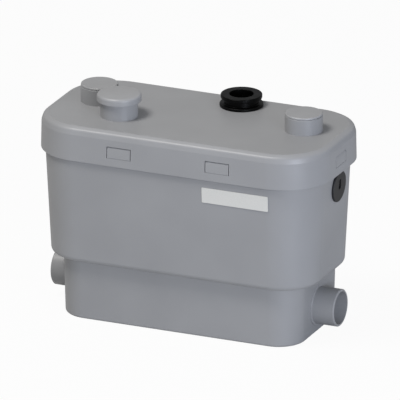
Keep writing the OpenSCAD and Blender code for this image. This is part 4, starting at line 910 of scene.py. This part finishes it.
def makeLabel():
    # bare plate, leaning with the wall
    s = labelSetup
    low, high = boxOf("label_plate")
    a, b = (high[0] - low[0]) / 2, s["height"] / 2
    at = ((low[0] + high[0]) / 2, tankPlan[2] - tankPlan[1] - wallReach(s["middle"]), s["middle"])
    plate = prism(rectangle((-a, -b), (a, b), s["corner"], 6), s["glue"], s["thick"] + s["glue"])
    finished("label_plate", moved(plate, placed(at, 90 + w["tankDraft"], "X")), bevel=s["edge"])


grommetSetup = {"flange": 21, "thick": 3, "edge": 1, "neck": 16, "neckLength": 14.2, "hole": 3.8, "gap": 0.1,
                "slotWidth": 6.08, "slotReach": 10, "slotDepth": 1.5, "slotOver": (0.5, 8)}


def makeGrommet():
    g = grommetSetup
    top = g["gap"] + g["thick"]
    profile = roundedPath([
        (g["hole"], -g["neckLength"], 0.3), (g["neck"], -g["neckLength"], 0.6), (g["neck"], g["gap"]),
        (g["flange"], g["gap"], 0.3), (g["flange"], top, g["edge"]), (g["hole"], top, 0.4)], closed=True)
    piece = started("cable_grommet", moved(lathe(profile, (0, 0), True), grommetFrame))
    half = g["slotWidth"] / 2
    slot = block((-g["slotReach"], -half, g["slotDepth"]), (g["slotOver"][0], half, g["slotOver"][1]))
    combine(piece, moved(slot, grommetFrame), "DIFFERENCE")
    ended(piece, "cable_grommet")


makeCaps()
makeCollar()
makeLabel()
makeGrommet()
print("caps, collar, label and grommet made")


# Round pieces inside, with their corners as turned takes them
def tube(inner, outer, length, edge=0.8):
    return [(inner, 0, fineEdge), (outer, 0, edge), (outer, length, edge), (inner, length, fineEdge)]


# sealed bearing: two races with a sunk shield between them
bearing = [(6.1, 0, 0.4), (9, 0, 0.2), (9.2, 0.9), (12.8, 0.9), (13, 0, 0.2), (16, 0, 0.8),
           (16, 10, 0.8), (13, 10, 0.2), (12.8, 9.1), (9.2, 9.1), (9, 10, 0.2), (6.1, 10, 0.4)]

ballSetup = {"radius": 11, "skin": 10.92, "step": 4}


def ballArc(first, last):
    b = ballSetup
    return [(b["skin"] * sin(radians(a)), b["radius"] - b["skin"] * cos(radians(a)))
            for a in range(first, last, b["step"])]


turnedSetup = {
    "left_drop_tube": tube(19.7, 21.7, 200.5),
    "right_drop_tube": tube(19.7, 21.7, 200.5),
    "vent_tube": tube(9, 11, 187.5),
    "discharge_riser": tube(10.5, 13, 123.38, 1),
    "vent_filter": [(0, 0.6), (12, 0), (21.7, 0, 1.5), (21.7, 9, 2), (12, 9), (0, 8.4)],
    "column_bush": [
        (20.1, 0, 0.4), (28, 0, 0.8), (28, 2, 0.6), (23.9, 2, 0.3), (23.9, 6, 0.8), (20.1, 6, 0.4)],
    # mechanical seal: a stationary cup, a groove and the rotating face
    "shaft_seal": [
        (5.1, 0, 0.3), (14.9, 0, 0.6), (14.9, 4.5, 0.3), (13.4, 4.5, 0.3), (13.4, 5.6, 0.3),
        (14.4, 5.6, 0.3), (14.4, 8.4, 0.4), (10, 8.4), (10, 10, 0.5), (5.1, 10, 0.3)],
    "motor_shaft": [
        (0, 7), (2.5, 6), (2.5, 0, 0.3), (5, 0, 0.5), (5, 35), (6, 35, 0.4), (6, 94), (8, 94, 0.5),
        (8, 196, 0.5), (6, 196), (6, 207, 0.8), (0, 207)],
    "lower_bearing": bearing,
    "upper_bearing": bearing,
    # the ball keeps its mould's parting ridge and a gate mark on top
    "check_ball": [(0, 0.05)] + ballArc(6, 87) + [(10.9, 10.7), (11, 10.85), (11, 11.15), (10.9, 11.3)]
                  + ballArc(94, 171) + [(1.4, 21.83), (1.3, 22), (0, 22)],
    "pressure_bell": [
        (17, 0, 0.6), (20, 0, 1), (20, 65, 1), (30, 65, 0.5), (30, 69, 0.5), (17, 69, 0.4)],
    # the diaphragm has a rolling fold between its stiff middle and its clamped rim
    "switch_diaphragm": [
        (0, 0.5), (15, 0.5, 2), (18, 0.05, 2), (22, 0.5, 2), (25, 0, 1), (30, 0, 0.3), (30, 2, 0.3),
        (25, 2, 1), (22, 1.7, 2), (18, 1.2, 2), (15, 1.6, 2), (0, 1.6)],
    "switch_plunger": [
        (0, 0), (14, 0, 0.5), (14, 2, 0.5), (4, 2, 1.5), (4, 23.2, 0.7), (0, 23.2)],
}
for node, corners in turnedSetup.items():
    finished(node, turned(node, corners, 72))
print("turned pieces made:", len(turnedSetup))

# Rings that follow the walls' plan
sealSetup = {
    "deck_seal": (w["ledge"], [
        (45.77, 0, 0.5), (49.77, 0, 0.8), (49.77, 8, 0.8), (45.77, 8, 0.5), (45.77, 6.05, 0.3),
        (47.82, 6.05), (47.82, 1.95), (45.77, 1.95, 0.3)]),
    # two bead lips under the lid's face
    "lid_seal": (w["rim"], [
        (54.79, 0, 0.2), (56.79, 0, 0.2), (56.79, 5.8, 0.3), (56.5, 7.2, 0.3), (55.9, 6.4, 0.3),
        (55.3, 7.2, 0.3), (54.79, 5.8, 0.3)]),
}
for node, (z0, corners) in sealSetup.items():
    profile = roundedPath(raised(corners, z0), True, 3)
    finished(node, loftRings([(tankPlan, r, z) for r, z in profile], True))
print("seals made")

# Pieces that keep the CAD's outline, with their edges rounded by this many millimetres
softenSetup = {
    "grommet_nut": 0.6, "deck_plate": 0.6, "left_inlet_seat": 0.4, "right_inlet_seat": 0.4,
    "left_inlet_flap": 0.5, "right_inlet_flap": 0.5, "discharge_elbow": 0.5,
    "volute_casing": 0.8, "pump_column": 0.8, "capacitor_clip": 0.4, "terminal_block": 0.4,
}
for node, bevel in softenSetup.items():
    softenedCopy(node, bevel)
print("softened pieces made:", len(softenSetup))

axis = roundNode("motor_shaft")[:2]


def overAxis(node):
    # the pump's axis at the node's lower end
    return axis + (boxOf(node)[0][2],)


def makeScrew(node, length):
    # pan head with a cross recess and thread crests down to a blunt point, seated at z = 0
    s = screwSetup
    root, low, top = s["shank"] - s["crest"], -length + s["threadLow"], s["headHeight"]
    profile = [(0, -length), (s["shank"] - s["point"], -length), (root, -length + s["point"])]
    rings = int((length - s["plain"]) / s["pitch"])
    for k in range(rings):
        z = low + k * s["pitch"]
        profile += [(root, z), (s["shank"], z + s["pitch"] / 2)]
    profile += [(root, low + rings * s["pitch"]), (s["shank"], 0)]
    inwards, up = s["headFoot"]
    profile += roundedPath([(s["head"] - inwards, 0), (s["head"], up), (s["head"], top, s["dome"]),
                            (0, top)], steps=4)
    screw = started(node, lathe(profile, (0, 0), False, 28))
    deep, half, reach = top - s["crossDepth"], s["cross"] / 2, s["crossReach"]
    for a, b in ((reach, half), (half, reach)):
        combine(screw, block((-a, -b, deep), (a, b, top + overrun)), "DIFFERENCE")
    return screw


# The motor's feet and the ears of its end cap, by radius and the first one's turn, four of each
motorSetup = {"footAt": 60, "footTurn": 35, "earAt": 52, "earTurn": 80, "earTop": 225, "hole": 2.05}

# Rings of four screws: shank, radius, turn of the first and height of the seat. The volute's ears
# stand farther out one by one along its spiral
ringScrews = {
    "volute_screws": (14, 47.5, 60, 48, {"growth": 4.2, "offset": (0.7687, 2.8687, 0)}),
    "motor_screws": (18, motorSetup["footAt"], motorSetup["footTurn"], 107, {}),
    "end_cap_screws": (17, motorSetup["earAt"], motorSetup["earTurn"], 232, {}),
}
deckScrews = {"length": 8, "width": 347.34, "depth": 80, "seat": 93}


def makeScrews():
    for node, (length, radius, start, seat, more) in ringScrews.items():
        screws = makeScrew(node, length)
        ended(runGear(screws, ringGear, gearValues(4, radius, start, 90, axis + (seat,), **more)), node)
    d = deckScrews
    ended(runGear(makeScrew("deck_screws", d["length"]), gridGear, {
        "Width": d["width"] * mm, "Depth": d["depth"] * mm, "Columns": 2, "Rows": 2,
        "Middle": [0, w["tankShift"] * mm, d["seat"] * mm]}), "deck_screws")


bufferSetup = [
    (2.1, 0, 0.3), (8, 0, 0.7), (8, 1.8, 0.7), (6.8, 4, 3), (8, 6.2, 0.7), (8, 8, 0.7), (2.1, 8, 0.3)]


def makeBuffers():
    buffer = started("motor_buffers", lathe(roundedPath(bufferSetup, True), (0, 0), True, 48))
    values = gearValues(4, motorSetup["footAt"], motorSetup["footTurn"], 90, overAxis("motor_buffers"))
    ended(runGear(buffer, ringGear, values), "motor_buffers")


makeScrews()
makeBuffers()
print("screws and buffers made")

housingSetup = {
    "shell": [(8.1, 0, 0.6), (50, 0, 1.5), (50, 124, 0.8), (46, 124, 0.5), (46, 6, 2), (20, 6, 1),
              (20, 16, 0.6), (16.05, 16, 0.3), (16.05, 6), (8.1, 6, 0.4)],
    "fins": 24, "finReach": 55.9, "finRoot": 48, "finThick": 2.5, "finTip": 1.6, "finLow": 8,
    "finHigh": 116, "finSlope": 3, "finChamfer": 0.5, "tipShare": 0.5,
    "footRadius": 9, "footIn": 44, "footHeight": 6, "footCut": (-1, 8),
    "earRadius": 6, "earHeight": 18, "earCut": (-11, 8), "edge": 0.5,
}


def makeFin(h):
    # cast with draft: thinner at its tip, and its ends lean in
    inside, outside, lean, chamfer = h["finRoot"], h["finReach"], h["finSlope"], h["finChamfer"]
    a, b = h["finThick"] / 2, h["finTip"] / 2
    tip, points = b * h["tipShare"], []
    for z, reach in ((h["finLow"], outside - lean), (h["finLow"] + lean, outside),
                     (h["finHigh"] - lean, outside), (h["finHigh"], outside - lean)):
        points += [(inside, -a, z), (reach - chamfer, -b, z), (reach, -tip, z),
                   (reach, tip, z), (reach - chamfer, b, z), (inside, a, z)]
    rows = [list(range(k, k + 6)) for k in (0, 6, 12, 18)]
    return points, joinRows(rows, False) + [rows[0][::-1], rows[-1]]


def makeHousing():
    h, m, seat = housingSetup, motorSetup, overAxis("motor_housing")
    piece = started("motor_housing", turned("motor_housing", h["shell"], centre=axis))
    combineRound(piece, makeFin(h), h["fins"], 0, seat, "UNION")
    half, high = h["footRadius"], h["footHeight"]
    foot = toolFor(piece, block((h["footIn"], -half, 0), (m["footAt"], half, high)))
    combine(foot, solidRod(m["footAt"], 0, half, 0, high), "UNION")
    combineWith(piece, roundAxis(foot, 4, m["footTurn"], seat), "UNION")
    earSeat = axis + (m["earTop"],)
    ear = solidRod(m["earAt"], 0, h["earRadius"], -h["earHeight"], 0)
    combineRound(piece, ear, 4, m["earTurn"], earSeat, "UNION")
    holes = toolFor(piece, solidRod(m["footAt"], 0, m["hole"], *h["footCut"]))
    roundAxis(holes, 4, m["footTurn"], seat)
    earHoles = toolFor(piece, solidRod(m["earAt"], 0, m["hole"], *h["earCut"]))
    absorb(holes, roundAxis(earHoles, 4, m["earTurn"], earSeat))
    combineWith(piece, holes, "DIFFERENCE")
    ended(piece, "motor_housing", bevel=h["edge"])


endCapSetup = {
    "profile": [(0, 10), (16.05, 10), (16.05, 0, 0.4), (20, 0, 0.5), (20, 4), (42, 4), (42, 0, 0.4),
                (45.85, 0, 0.6), (45.85, 4), (50, 4, 0.5), (50, 11, 1.6), (46.5, 11.2), (36, 18, 2),
                (0, 18)],
    "ribs": 12, "ribTurn": 5, "ribIn": 30, "ribOut": 48, "ribThick": 2, "ribFoot": 8, "ribLow": 12.5,
    "ribTop": 17.4, "ribSlope": 6, "ear": 6, "earLow": 4, "earHeight": 7, "earCut": (2, 12), "edge": 0.5,
}


def makeEndCap():
    e, m, seat = endCapSetup, motorSetup, overAxis("motor_end_cap")
    piece = started("motor_end_cap", turned("motor_end_cap", e["profile"], centre=axis))
    half = e["ribThick"] / 2
    side = [(e["ribIn"], e["ribFoot"]), (e["ribOut"], e["ribFoot"]), (e["ribOut"], e["ribLow"]),
            (e["ribOut"] - e["ribSlope"], e["ribTop"]), (e["ribIn"], e["ribTop"])]
    rib = moved(prism(side, -half, half), Matrix.Rotation(pi / 2, 4, "X"))
    combineRound(piece, rib, e["ribs"], e["ribTurn"], seat, "UNION")
    earSeat = axis + (seat[2] + e["earLow"],)
    ear = solidRod(m["earAt"], 0, e["ear"], 0, e["earHeight"])
    combineRound(piece, ear, 4, m["earTurn"], earSeat, "UNION")
    hole = solidRod(m["earAt"], 0, m["hole"], *e["earCut"])
    combineRound(piece, hole, 4, m["earTurn"], seat, "DIFFERENCE")
    ended(piece, "motor_end_cap", bevel=e["edge"])


makeHousing()
makeEndCap()
print("motor shell made")

statorSetup = {"outer": 45.9, "bore": 28.5, "height": 60, "edge": 0.4, "slots": 12, "slotIn": 30.5,
               "slotOut": 39.5, "slotWidth": 7, "slotRound": 1.2, "mouth": 2.2, "mouthIn": 2, "lip": 0.6}


def makeStator():
    # lamination stack; each slot opens to the bore through a narrow mouth
    s, seat = statorSetup, overAxis("stator_core")
    ring = rectangle((s["bore"], 0), (s["outer"], s["height"]), s["edge"], 2)
    piece = started("stator_core", lathe(raised(ring, seat[2]), axis, True))
    half, gap = s["slotWidth"] / 2, s["mouth"] / 2
    inside, lip = s["bore"] - s["mouthIn"], s["slotIn"] + s["lip"]
    outline = roundedPath([
        (inside, -gap), (s["slotIn"], -gap), (lip, -half), (s["slotOut"], -half, s["slotRound"]),
        (s["slotOut"], half, s["slotRound"]), (lip, half), (s["slotIn"], gap), (inside, gap)], True, 4)
    slot = prism(outline, -overrun, s["height"] + overrun)
    combineRound(piece, slot, s["slots"], 0, seat, "DIFFERENCE")
    ended(piece, "stator_core")


rotorSetup = {"radius": 28, "bore": 8.1, "height": 60, "ring": 25.2, "ringHeight": 5, "ringEdge": 0.6,
              "bars": 28, "barDepth": 0.5, "skew": 12, "rows": 12}


def makeRotor():
    # cast cage: skewed bar grooves show round the stack, between two end rings. Each level is
    # height over the lower end, radius, groove depth and turn
    s, (x, y, base) = rotorSetup, overAxis("rotor_core")
    ring, edge, skew = s["ring"], s["ringEdge"], s["skew"]
    low, high = s["ringHeight"], s["ringHeight"] + s["height"]
    top = high + s["ringHeight"]
    levels = [(0, s["bore"], 0, 0), (0, ring - edge, 0, 0), (edge, ring, 0, 0), (low, ring, 0, 0)]
    levels += [(low + s["height"] * k / s["rows"], s["radius"], s["barDepth"], skew * k / s["rows"])
               for k in range(s["rows"] + 1)]
    levels += [(high, ring, 0, skew), (top - edge, ring, 0, skew), (top, ring - edge, 0, skew),
               (top, s["bore"], 0, skew)]
    count, rows, points = 4 * s["bars"], [], []
    for z, radius, groove, turn in levels:
        rows.append(list(range(len(points), len(points) + count)))
        for k in range(count):
            angle = 2 * pi * k / count + radians(turn)
            r = radius - (groove if k % 4 == 0 else 0)
            points.append((x + r * cos(angle), y + r * sin(angle), base + z))
    finished("rotor_core", (points, joinRows(rows, True)), sharp=25)


windingSetup = {
    "ringRadius": 35, "coilWidth": 3.9, "coilHeight": 7, "wire": 0.42, "turns": 150, "points": 2400,
    "core": 3.7, "coreHeight": 6.8, "coreRound": 2.5, "margin": 0.1, "bars": 12, "barIn": 30.9,
    "barOut": 39.1, "barHalf": 2.8, "barRound": (0.8, 1.2), "barEnd": 8, "sharp": 50,
}


def makeWindings():
    # a bundle of wire over each end of the stack, joined by the coil sides that lie in the slots
    s = windingSetup
    low, high = boxOf("stator_windings")
    a, b, half, (inner, outer) = s["barIn"], s["barOut"], s["barHalf"], s["barRound"]
    outline = roundedPath([(a, -half, inner), (b, -half, outer), (b, half, outer), (a, half, inner)], True, 3)
    piece = started("stator_windings", prism(outline, low[2] + s["barEnd"], high[2] - s["barEnd"]))
    roundAxis(piece, s["bars"], 0, axis + (0,))
    r, c, h = s["ringRadius"], s["core"], s["coreHeight"]
    inset = s["coilHeight"] + s["wire"] + s["margin"]
    for z in (low[2] + inset, high[2] - inset):
        section = rectangle((r - c, z - h), (r + c, z + h), s["coreRound"])
        absorb(piece, toolFor(piece, lathe(section, axis, True, 48)))
        wire = toolFor(piece, block((0, 0, 0), (1, 1, 1)))
        absorb(piece, runGear(wire, wireGear, {
            "Turns": s["turns"], "Points": s["points"], "Ring radius": r * mm,
            "Coil width": s["coilWidth"] * mm, "Coil height": s["coilHeight"] * mm,
            "Wire": s["wire"] * mm, "Middle": [axis[0] * mm, axis[1] * mm, z * mm]}))
    piece.data.shade_smooth()
    piece.data.set_sharp_from_angle(angle=radians(s["sharp"]))
    standsFor(piece, "stator_windings")


makeStator()
makeRotor()
makeWindings()
print("stator, rotor and windings made")

impellerSetup = {"plate": 40, "plateLow": 17, "plateHigh": 20, "hub": 10, "hubLow": 3, "hubTaper": 0.6,
                 "bore": 5.05, "vanes": 5, "bend": 30, "start": 10, "sweep": 60, "rootHalf": 1.5,
                 "tipHalf": 0.9, "vaneSteps": 14, "edge": 0.35}


def makeImpeller():
    # open impeller: hub and back plate with five swept vanes hanging from it
    s, seat = impellerSetup, overAxis("impeller")
    profile = roundedPath([
        (s["bore"], s["hubLow"], 0.4), (s["hub"] - s["hubTaper"], s["hubLow"], 1),
        (s["hub"], s["plateLow"], 2.5), (s["plate"], s["plateLow"], 0.5),
        (s["plate"], s["plateHigh"], 0.8), (s["bore"], s["plateHigh"], 0.5)], True)
    piece = started("impeller", lathe(raised(profile, seat[2]), axis, True))
    inner, outer = [], []
    for k in range(s["vaneSteps"] + 1):
        share = k / s["vaneSteps"]
        angle = radians(s["start"] + s["sweep"] * share)
        half = s["tipHalf"] + (s["rootHalf"] - s["tipHalf"]) * share
        for side, reach in ((inner, s["bend"] - half), (outer, s["bend"] + half)):
            side.append((reach * cos(angle), reach * sin(angle) - s["bend"]))
    vane = prism(outer + inner[::-1], 0, s["plateLow"] + overrun)
    combineRound(piece, vane, s["vanes"], 0, seat, "UNION")
    ended(piece, "impeller", bevel=s["edge"])


impellerScrewSetup = {"profile": [(0, 0), (9, 0, 0.8), (9, 2.9, 0.5), (2.5, 2.9, 0.3), (2.5, 9, 0.6), (0, 9)],
                      "socket": 3, "socketDepth": 1.9}


def makeImpellerScrew():
    s, base = impellerScrewSetup, overAxis("impeller_screw")[2]
    piece = started("impeller_screw", turned("impeller_screw", s["profile"], 64, axis))
    socket = [(s["socket"] * cos(radians(a)), s["socket"] * sin(radians(a))) for a in range(0, 360, 60)]
    socket = prism(socket, base - overrun, base + s["socketDepth"])
    combine(piece, moved(socket, placed(axis + (0,))), "DIFFERENCE")
    ended(piece, "impeller_screw")


strainerSetup = {"bars": 16, "barIn": 31, "barOut": 34, "barHalf": (0.9, 1.5), "barRound": (0.6, 0.8),
                 "height": 11.9, "outer": 35.5, "ring": 29.5, "eye": 15, "plates": (2, 1.9), "edge": 0.5}


def makeStrainer():
    s, seat, top = strainerSetup, overAxis("suction_strainer"), strainerSetup["height"]
    lower = rectangle((s["ring"], 0), (s["outer"], s["plates"][0]), s["edge"], 3)
    upper = rectangle((s["eye"], top - s["plates"][1]), (s["outer"], top), s["edge"], 3)
    rings = [lathe(raised(ring, seat[2]), axis, True) for ring in (lower, upper)]
    piece = started("suction_strainer", joined(*rings))
    # bars are pear-shaped in plan, with the narrow side inwards
    (a, b), (ra, rb) = s["barHalf"], s["barRound"]
    outline = roundedPath([(s["barIn"], -a, ra), (s["barOut"], -b, rb), (s["barOut"], b, rb),
                           (s["barIn"], a, ra)], True, 3)
    combineRound(piece, prism(outline, overrun, top - overrun), s["bars"], 0, seat, "UNION")
    ended(piece, "suction_strainer")


makeImpeller()
makeImpellerScrew()
makeStrainer()
print("impeller and strainer made")

valveSetup = {
    "profile": [(13.1, 0, 0.5), (15.5, 0, 0.8), (15.5, 8, 0.6), (14.8, 9.2, 0.6), (14.8, 36.8, 0.6),
                (15.5, 38, 0.6), (15.5, 58.02, 0.8), (13.1, 58.02, 0.5), (13.1, 38.02), (13.5, 38.02),
                (13.5, 10), (9, 10, 0.6), (9, 7, 0.3), (13.1, 7)],
    "barHalf": 1.5, "barReach": 14.2, "barLow": 38.02, "barHigh": 40.02, "edge": 0.3,
}


def makeValveBody():
    s = valveSetup
    x, y, r, z0, z1 = roundNode("check_valve_body")
    piece = started("check_valve_body", turned("check_valve_body", s["profile"]))
    low, high = z0 + s["barLow"], z0 + s["barHigh"]
    for a, b in ((s["barReach"], s["barHalf"]), (s["barHalf"], s["barReach"])):
        combine(piece, block((x - a, y - b, low), (x + a, y + b, high)), "UNION")
    ended(piece, "check_valve_body", bevel=s["edge"])


coverSetup = {
    "profile": [(28, 0, 0.5), (31, 0, 0.8), (31, 2.5, 0.4), (30.4, 3, 0.3), (30.4, 18, 3), (4.1, 18, 0.5),
                (4.1, 15, 0.4), (28, 15, 2)],
    "post": 3, "postAt": 9, "postTop": 22.9, "postEdge": 0.5, "inTop": 17,
    "ribs": 8, "ribTurn": 22.5, "ribIn": 13, "ribOut": 27, "ribHalf": 0.8, "ribTop": 19.2, "edge": 0.3,
}


def makeSwitchCover():
    s = coverSetup
    x, y, r, z0, z1 = roundNode("switch_cover")
    piece = started("switch_cover", turned("switch_cover", s["profile"]))
    rib = block((s["ribIn"], -s["ribHalf"], s["inTop"]), (s["ribOut"], s["ribHalf"], s["ribTop"]))
    combineRound(piece, rib, s["ribs"], s["ribTurn"], (x, y, z0), "UNION")
    posts = [solidRod(x + side * s["postAt"], y, s["post"], z0 + s["inTop"], z0 + s["postTop"], s["postEdge"])
             for side in (-1, 1)]
    combine(piece, joined(*posts), "UNION")
    ended(piece, "switch_cover", bevel=s["edge"])


# Spade tabs with an eye, as the microswitch and the capacitor have them
tabSetup = {"half": (0.5, 3), "eye": 1, "eyeReach": 20, "eyeDrop": 3}


def addTabs(piece, at, places, foot, top):
    s, (x, y, z) = tabSetup, at
    a, b = s["half"]
    tabs = [block((x + place - a, y - b, z + foot), (x + place + a, y + b, z + top)) for place in places]
    combine(piece, joined(*tabs), "UNION")
    eye = solidRod(0, 0, s["eye"], -s["eyeReach"], s["eyeReach"])
    combine(piece, moved(eye, placed((x, y, z + top - s["eyeDrop"]), 90, "Y")), "DIFFERENCE")


microSetup = {"half": (14, 5.5), "height": 16, "corner": 1.2, "plungerHole": 4.3, "holeDepth": 4,
              "seam": 0.4, "seamAt": 11, "fixing": 1.6, "fixingAt": 9, "fixingUp": 6,
              "tabs": (-6, 0, 6), "tabFoot": 15, "tabTop": 22, "edge": 0.25}


def makeMicroswitch():
    s = microSetup
    low, high = boxOf("microswitch")
    x, y, z = at = ((low[0] + high[0]) / 2, (low[1] + high[1]) / 2, low[2])
    a, b = s["half"]

    def body(inset):
        outline = rectangle((-a + inset, -b + inset), (a - inset, b - inset), s["corner"], 3)
        return moved(prism(outline, 0, s["height"]), placed(at))

    piece = started("microswitch", body(0))
    # the lid of its case parts along a fine groove
    wide, deep = a + overrun, b + overrun
    ring = block((-wide, -deep, s["seamAt"]), (wide, deep, s["seamAt"] + s["seam"]))
    groove = toolFor(piece, moved(ring, placed(at)))
    combine(groove, body(s["seam"]), "DIFFERENCE")
    combineWith(piece, groove, "DIFFERENCE")
    holes = [solidRod(x, y, s["plungerHole"], z - overrun, z + s["holeDepth"] - overrun)]
    rod, up = solidRod(0, 0, s["fixing"], -deep, deep), z + s["fixingUp"]
    holes += [moved(rod, placed((x + side * s["fixingAt"], y, up), 90, "X")) for side in (-1, 1)]
    combine(piece, joined(*holes), "DIFFERENCE")
    addTabs(piece, at, s["tabs"], s["tabFoot"], s["tabTop"])
    ended(piece, "microswitch", bevel=s["edge"])


capacitorSetup = {
    "profile": [(0, 0), (20, 0, 1.2), (20, 3, 0.4), (19.5, 3.8, 0.4), (19.5, 72, 0.4), (18.8, 73, 0.6),
                (19.5, 74, 0.4), (20, 74.8, 0.4), (20, 78, 1.2), (18.2, 78, 0.4), (18.2, 76.8, 0.4),
                (0, 76.8)],
    "tabs": (-6, 6), "tabFoot": 76, "tabTop": 84, "edge": 0.2,
}


def makeCapacitor():
    s = capacitorSetup
    x, y, r, z0, z1 = roundNode("capacitor")
    piece = started("capacitor", turned("capacitor", s["profile"]))
    addTabs(piece, (x, y, z0), s["tabs"], s["tabFoot"], s["tabTop"])
    ended(piece, "capacitor", bevel=s["edge"])


boxSetup = {"corner": 3, "wall": 2, "floor": 2, "cable": 3.8, "cableHeight": 18, "cableCut": 5, "edge": 0.5}
boxCoverSetup = {"plate": 2, "lipGap": 0.3, "lipCorners": (0.7, 0.5), "lipBury": 0.5, "field": (30, 16),
                 "fieldCorner": 2, "fieldDepth": 0.4, "edge": 0.35}


def boxPrism(node, inset, corner, z0, z1):
    low, high = boxOf(node)
    return prism(rectangle([v + inset for v in low], [v - inset for v in high], corner), z0, z1)


def makeTerminalBox():
    s, wall = boxSetup, boxSetup["wall"]
    low, high = boxOf("terminal_box")
    piece = started("terminal_box", boxPrism("terminal_box", 0, s["corner"], low[2], high[2]))
    pocket = boxPrism("terminal_box", wall, s["corner"] - wall, low[2] + s["floor"], high[2] + overrun)
    combine(piece, pocket, "DIFFERENCE")
    at = ((low[0] + high[0]) / 2, high[1], low[2] + s["cableHeight"])
    hole = solidRod(0, 0, s["cable"], -s["cableCut"], s["cableCut"])
    combine(piece, moved(hole, placed(at, 90, "X")), "DIFFERENCE")
    ended(piece, "terminal_box", bevel=s["edge"])


def makeTerminalBoxCover():
    s, node = boxCoverSetup, "terminal_box_cover"
    low, high = boxOf(node)
    plateLow, inset = high[2] - s["plate"], boxSetup["wall"] + s["lipGap"]
    outside, inside = s["lipCorners"]
    piece = started(node, boxPrism(node, 0, boxSetup["corner"], plateLow, high[2]))
    combine(piece, boxPrism(node, inset, outside, low[2], plateLow + s["lipBury"]), "UNION")
    inset += boxSetup["wall"]
    combine(piece, boxPrism(node, inset, inside, low[2] - overrun, plateLow), "DIFFERENCE")
    # a shallow field sunk in the cover's top
    a, b = s["field"]
    x, y = (low[0] + high[0]) / 2, (low[1] + high[1]) / 2
    field = rectangle((x - a / 2, y - b / 2), (x + a / 2, y + b / 2), s["fieldCorner"])
    combine(piece, prism(field, high[2] - s["fieldDepth"], high[2] + overrun), "DIFFERENCE")
    ended(piece, node, bevel=s["edge"])


pinSetup = {"radius": 1.5, "half": 11.9, "edge": 0.4}


def makeFlapPins():
    s = pinSetup
    rod = roundedPath([(0, -s["half"]), (s["radius"], -s["half"], s["edge"]),
                       (s["radius"], s["half"], s["edge"]), (0, s["half"])])
    for node in ("left_flap_pin", "right_flap_pin"):
        low, high = boxOf(node)
        at = ((low[0] + high[0]) / 2, 0, (low[2] + high[2]) / 2)
        finished(node, moved(lathe(rod, (0, 0), False, 32), placed(at, 90, "X")))


makeValveBody()
makeSwitchCover()
makeMicroswitch()
makeCapacitor()
makeTerminalBox()
makeTerminalBoxCover()
makeFlapPins()
print("valve, switch and electrics made")

# Floor, world and lamps
lightSetup = {
    "worldStrength": 0.38, "worldTint": "#f8f9fb",
    "keyPower": 57, "keyAt": (-0.75, -1.0, 2.75), "keySize": 1.0, "keyTint": "#fffcf8",
    "fillPower": 43, "fillAt": (2.08, -1.74, 0.5), "fillSize": 0.7, "fillTint": "#e8efff",
    "floorTone": "#c6c6c6", "floorShow": 0.95, "floorReach": 30000, "floorDrop": 0.05,
}


def makeStage():
    s = lightSetup
    world = bpy.data.worlds.new("studio")
    world.use_nodes = True
    tree = world.node_tree
    tree.nodes.clear()
    path = addNode(tree, "ShaderNodeLightPath").outputs
    seen = addNode(tree, "ShaderNodeMath", {"operation": "MAXIMUM"}, {
        0: path["Is Camera Ray"], 1: path["Is Transmission Ray"]}).outputs[0]
    soft = addNode(tree, "ShaderNodeBackground", None, {
        0: hexColour(s["worldTint"]), 1: s["worldStrength"]}).outputs[0]
    white = addNode(tree, "ShaderNodeBackground", None, {0: (1, 1, 1, 1), 1: 1}).outputs[0]
    both = addNode(tree, "ShaderNodeMixShader", None, {0: seen, 1: soft, 2: white}).outputs[0]
    addNode(tree, "ShaderNodeOutputWorld", None, {0: both})
    scene.world = world

    paper = bpy.data.materials.new("studioPaper")
    paper.use_nodes = True
    tree = paper.node_tree
    tree.nodes.clear()
    path = addNode(tree, "ShaderNodeLightPath").outputs
    show = addNode(tree, "ShaderNodeMath", {"operation": "MULTIPLY"}, {
        0: path["Is Camera Ray"], 1: s["floorShow"]}).outputs[0]
    flat = addNode(tree, "ShaderNodeBsdfDiffuse", None, {0: hexColour(s["floorTone"])}).outputs[0]
    glow = addNode(tree, "ShaderNodeEmission", None, {0: (1, 1, 1, 1), 1: 1}).outputs[0]
    both = addNode(tree, "ShaderNodeMixShader", None, {0: show, 1: flat, 2: glow}).outputs[0]
    addNode(tree, "ShaderNodeOutputMaterial", None, {0: both})
    a, z = s["floorReach"], -s["floorDrop"]
    floor = meshPiece("floor", ([(-a, -a, z), (a, -a, z), (a, a, z), (-a, a, z)], [[0, 1, 2, 3]]), paper)
    for name in ("key", "fill"):
        lamp = bpy.data.lights.new(name, "AREA")
        lamp.energy, lamp.size = s[name + "Power"], s[name + "Size"]
        lamp.color = hexColour(s[name + "Tint"])[:3]
        holder = bpy.data.objects.new(name, lamp)
        scene.collection.objects.link(holder)
        holder.location = s[name + "At"]
        aim = Vector(s[name + "At"]) - Vector(cameraSetup["target"]) * mm
        holder.rotation_euler = aim.to_track_quat("Z", "Y").to_euler()
    scene.view_settings.view_transform = "Standard"


makeStage()
print("stage and lamps made")
